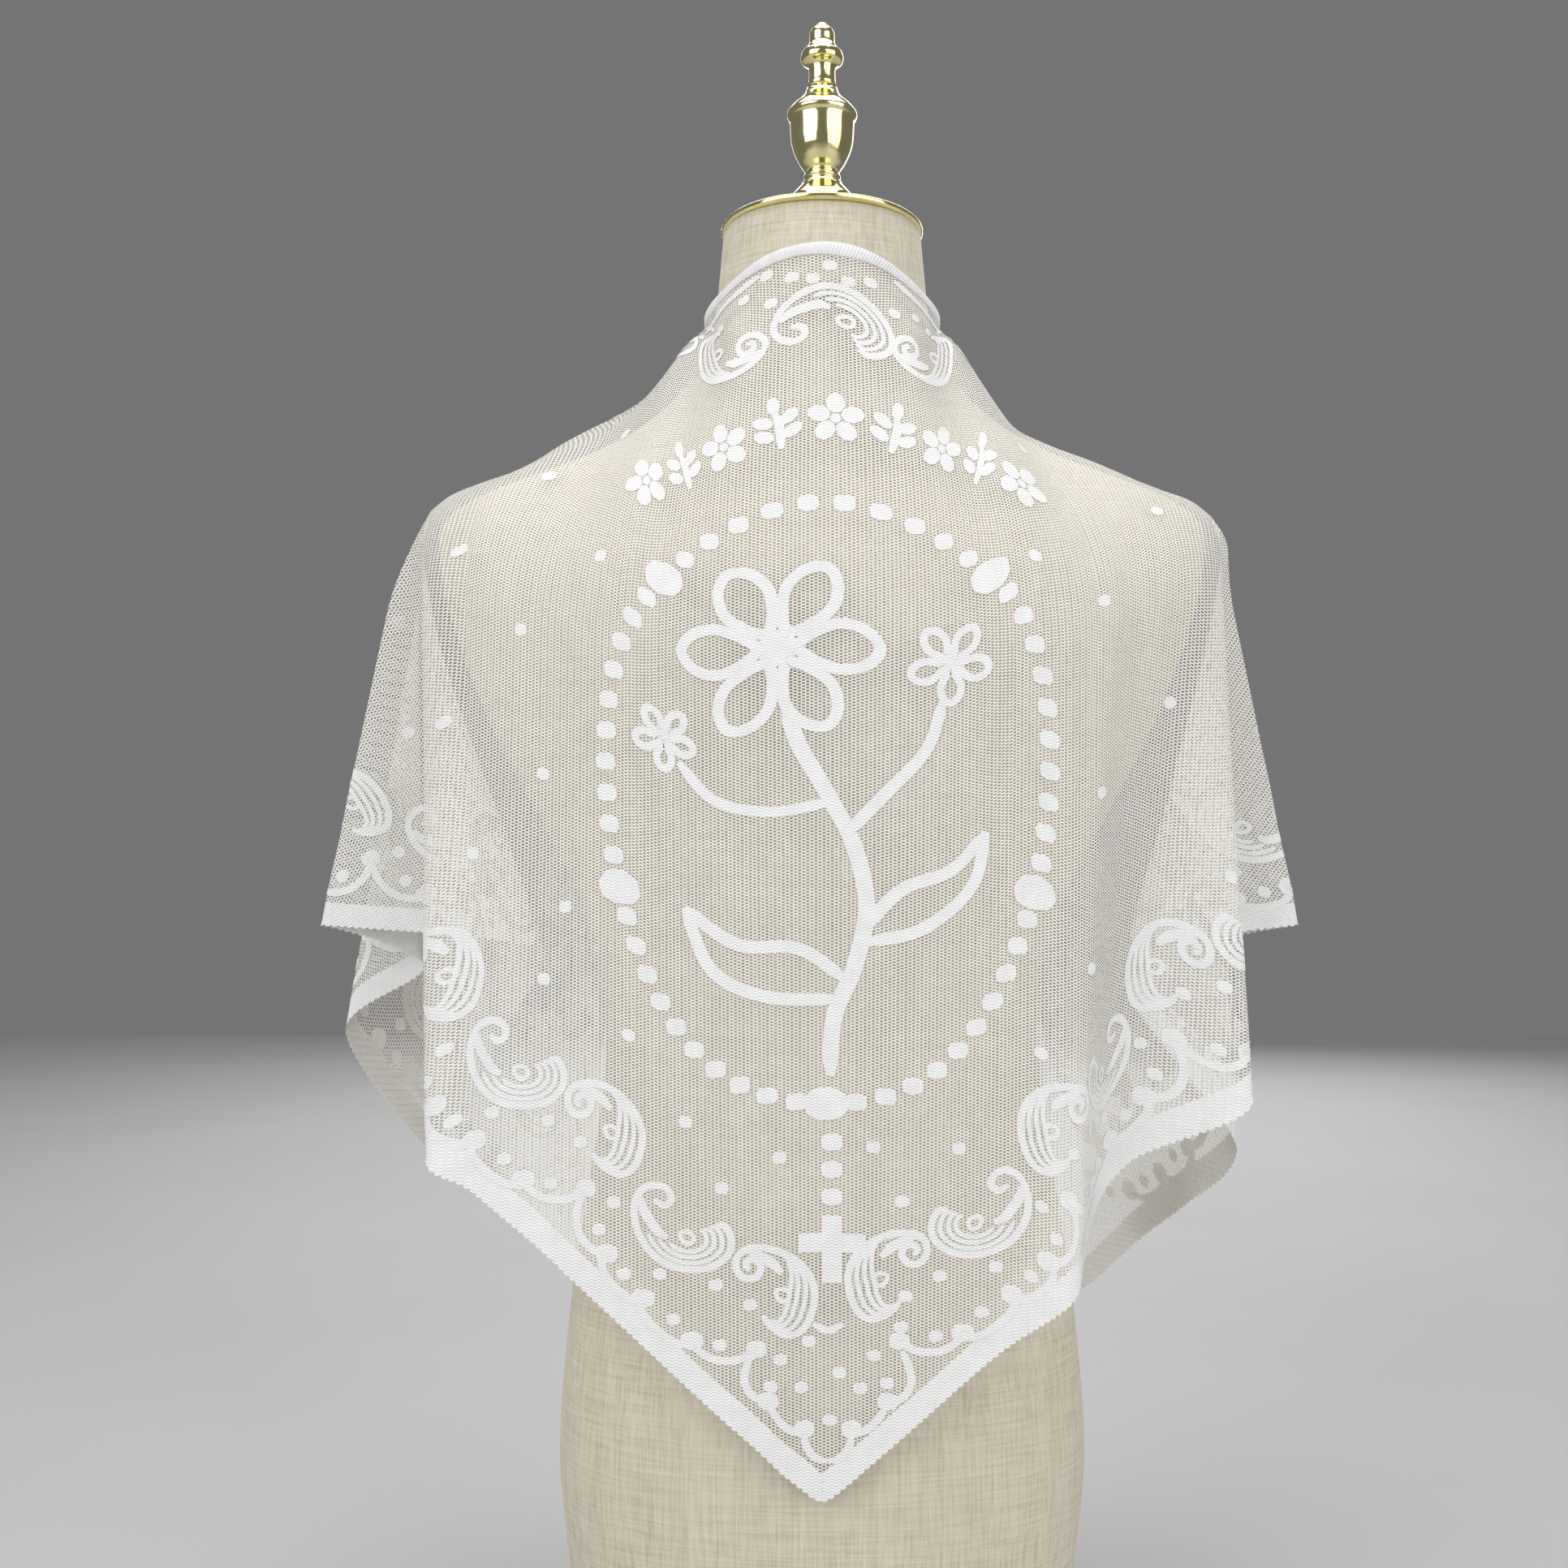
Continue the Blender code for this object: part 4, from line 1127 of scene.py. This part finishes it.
for obj, node, slot in ((net, "lace_panel", "lace"), (roll, "neck_edge_hem", "hem_cloth"),
                        (torso, "form_torso", "linen"), (cap, "neck_cap", "brass"),
                        (foot, "finial_foot", "brass"), (urn, "finial_urn", "brass"),
                        (knob, "finial_knob", "brass")):
    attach(obj, "root")
    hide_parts(node)
for obj in (lace_bands, lace_border, lace_beads, lace_spray):
    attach(obj, "root")

# Floor, light and camera
FLOOR_HALF = 3
FLOOR_Z = -0.0005
floor_mesh = bpy.data.meshes.new("floor")
corners = [(x * FLOOR_HALF, y * FLOOR_HALF, FLOOR_Z) for x, y in ((-1, -1), (1, -1), (1, 1), (-1, 1))]
floor_mesh.from_pydata(corners, [], [(0, 1, 2, 3)])
put_in_scene("floor", floor_mesh)
ground = Nodes("floor")
ground.look({"Base Color": ground.ramp(ground.noise(ground.place(), 2.0), FLOOR_TONES), "Roughness": 0.9})
floor_mesh.materials.append(ground.mat)

world = bpy.data.worlds.new("studio")
bpy.context.scene.world = world
world.use_nodes = True
world.node_tree.nodes["Background"].inputs["Color"].default_value = (0.175, 0.175, 0.175, 1)
world.node_tree.nodes["Background"].inputs["Strength"].default_value = 1.0


# Square soft lamps: name, place, height aimed at, side, power
LAMPS = [
    ("key", (-1.8, -1.8, 1.7), 0.45, 2.4, 47),
    ("fill", (1.8, -1.7, 1.3), 0.5, 2.4, 36),
    ("top", (0, 0.2, 2.6), 0.4, 2.0, 32),
    ("front", (0.3, 2.4, 1.4), 0.5, 1.8, 26),
]
for name, place_at, aim, side, power in LAMPS:
    light = bpy.data.lights.new(name, "AREA")
    light.shape = "SQUARE"
    light.size = side
    light.energy = power
    obj = put_in_scene(name, light)
    obj.location = place_at
    obj.rotation_euler = (Vector((0, 0, aim)) - Vector(place_at)).to_track_quat("-Z", "Y").to_euler()

# Level camera behind the form
CAMERA_BACK = 1.2
CAMERA_UP = 0.51
camera_data = bpy.data.cameras.new("camera")
camera_data.sensor_width = 36
camera_data.lens = 47.6
camera_data.shift_x = -0.0243
camera_data.clip_start = 0.05
camera = put_in_scene("camera", camera_data)
camera.location = (-MIDDLE_X, -CAMERA_BACK - MIDDLE_Y, CAMERA_UP)
camera.rotation_euler = (math.pi / 2, 0, 0)
bpy.context.scene.camera = camera
bpy.context.scene.view_settings.view_transform = "Standard"
bpy.context.scene.cycles.transparent_max_bounces = 32
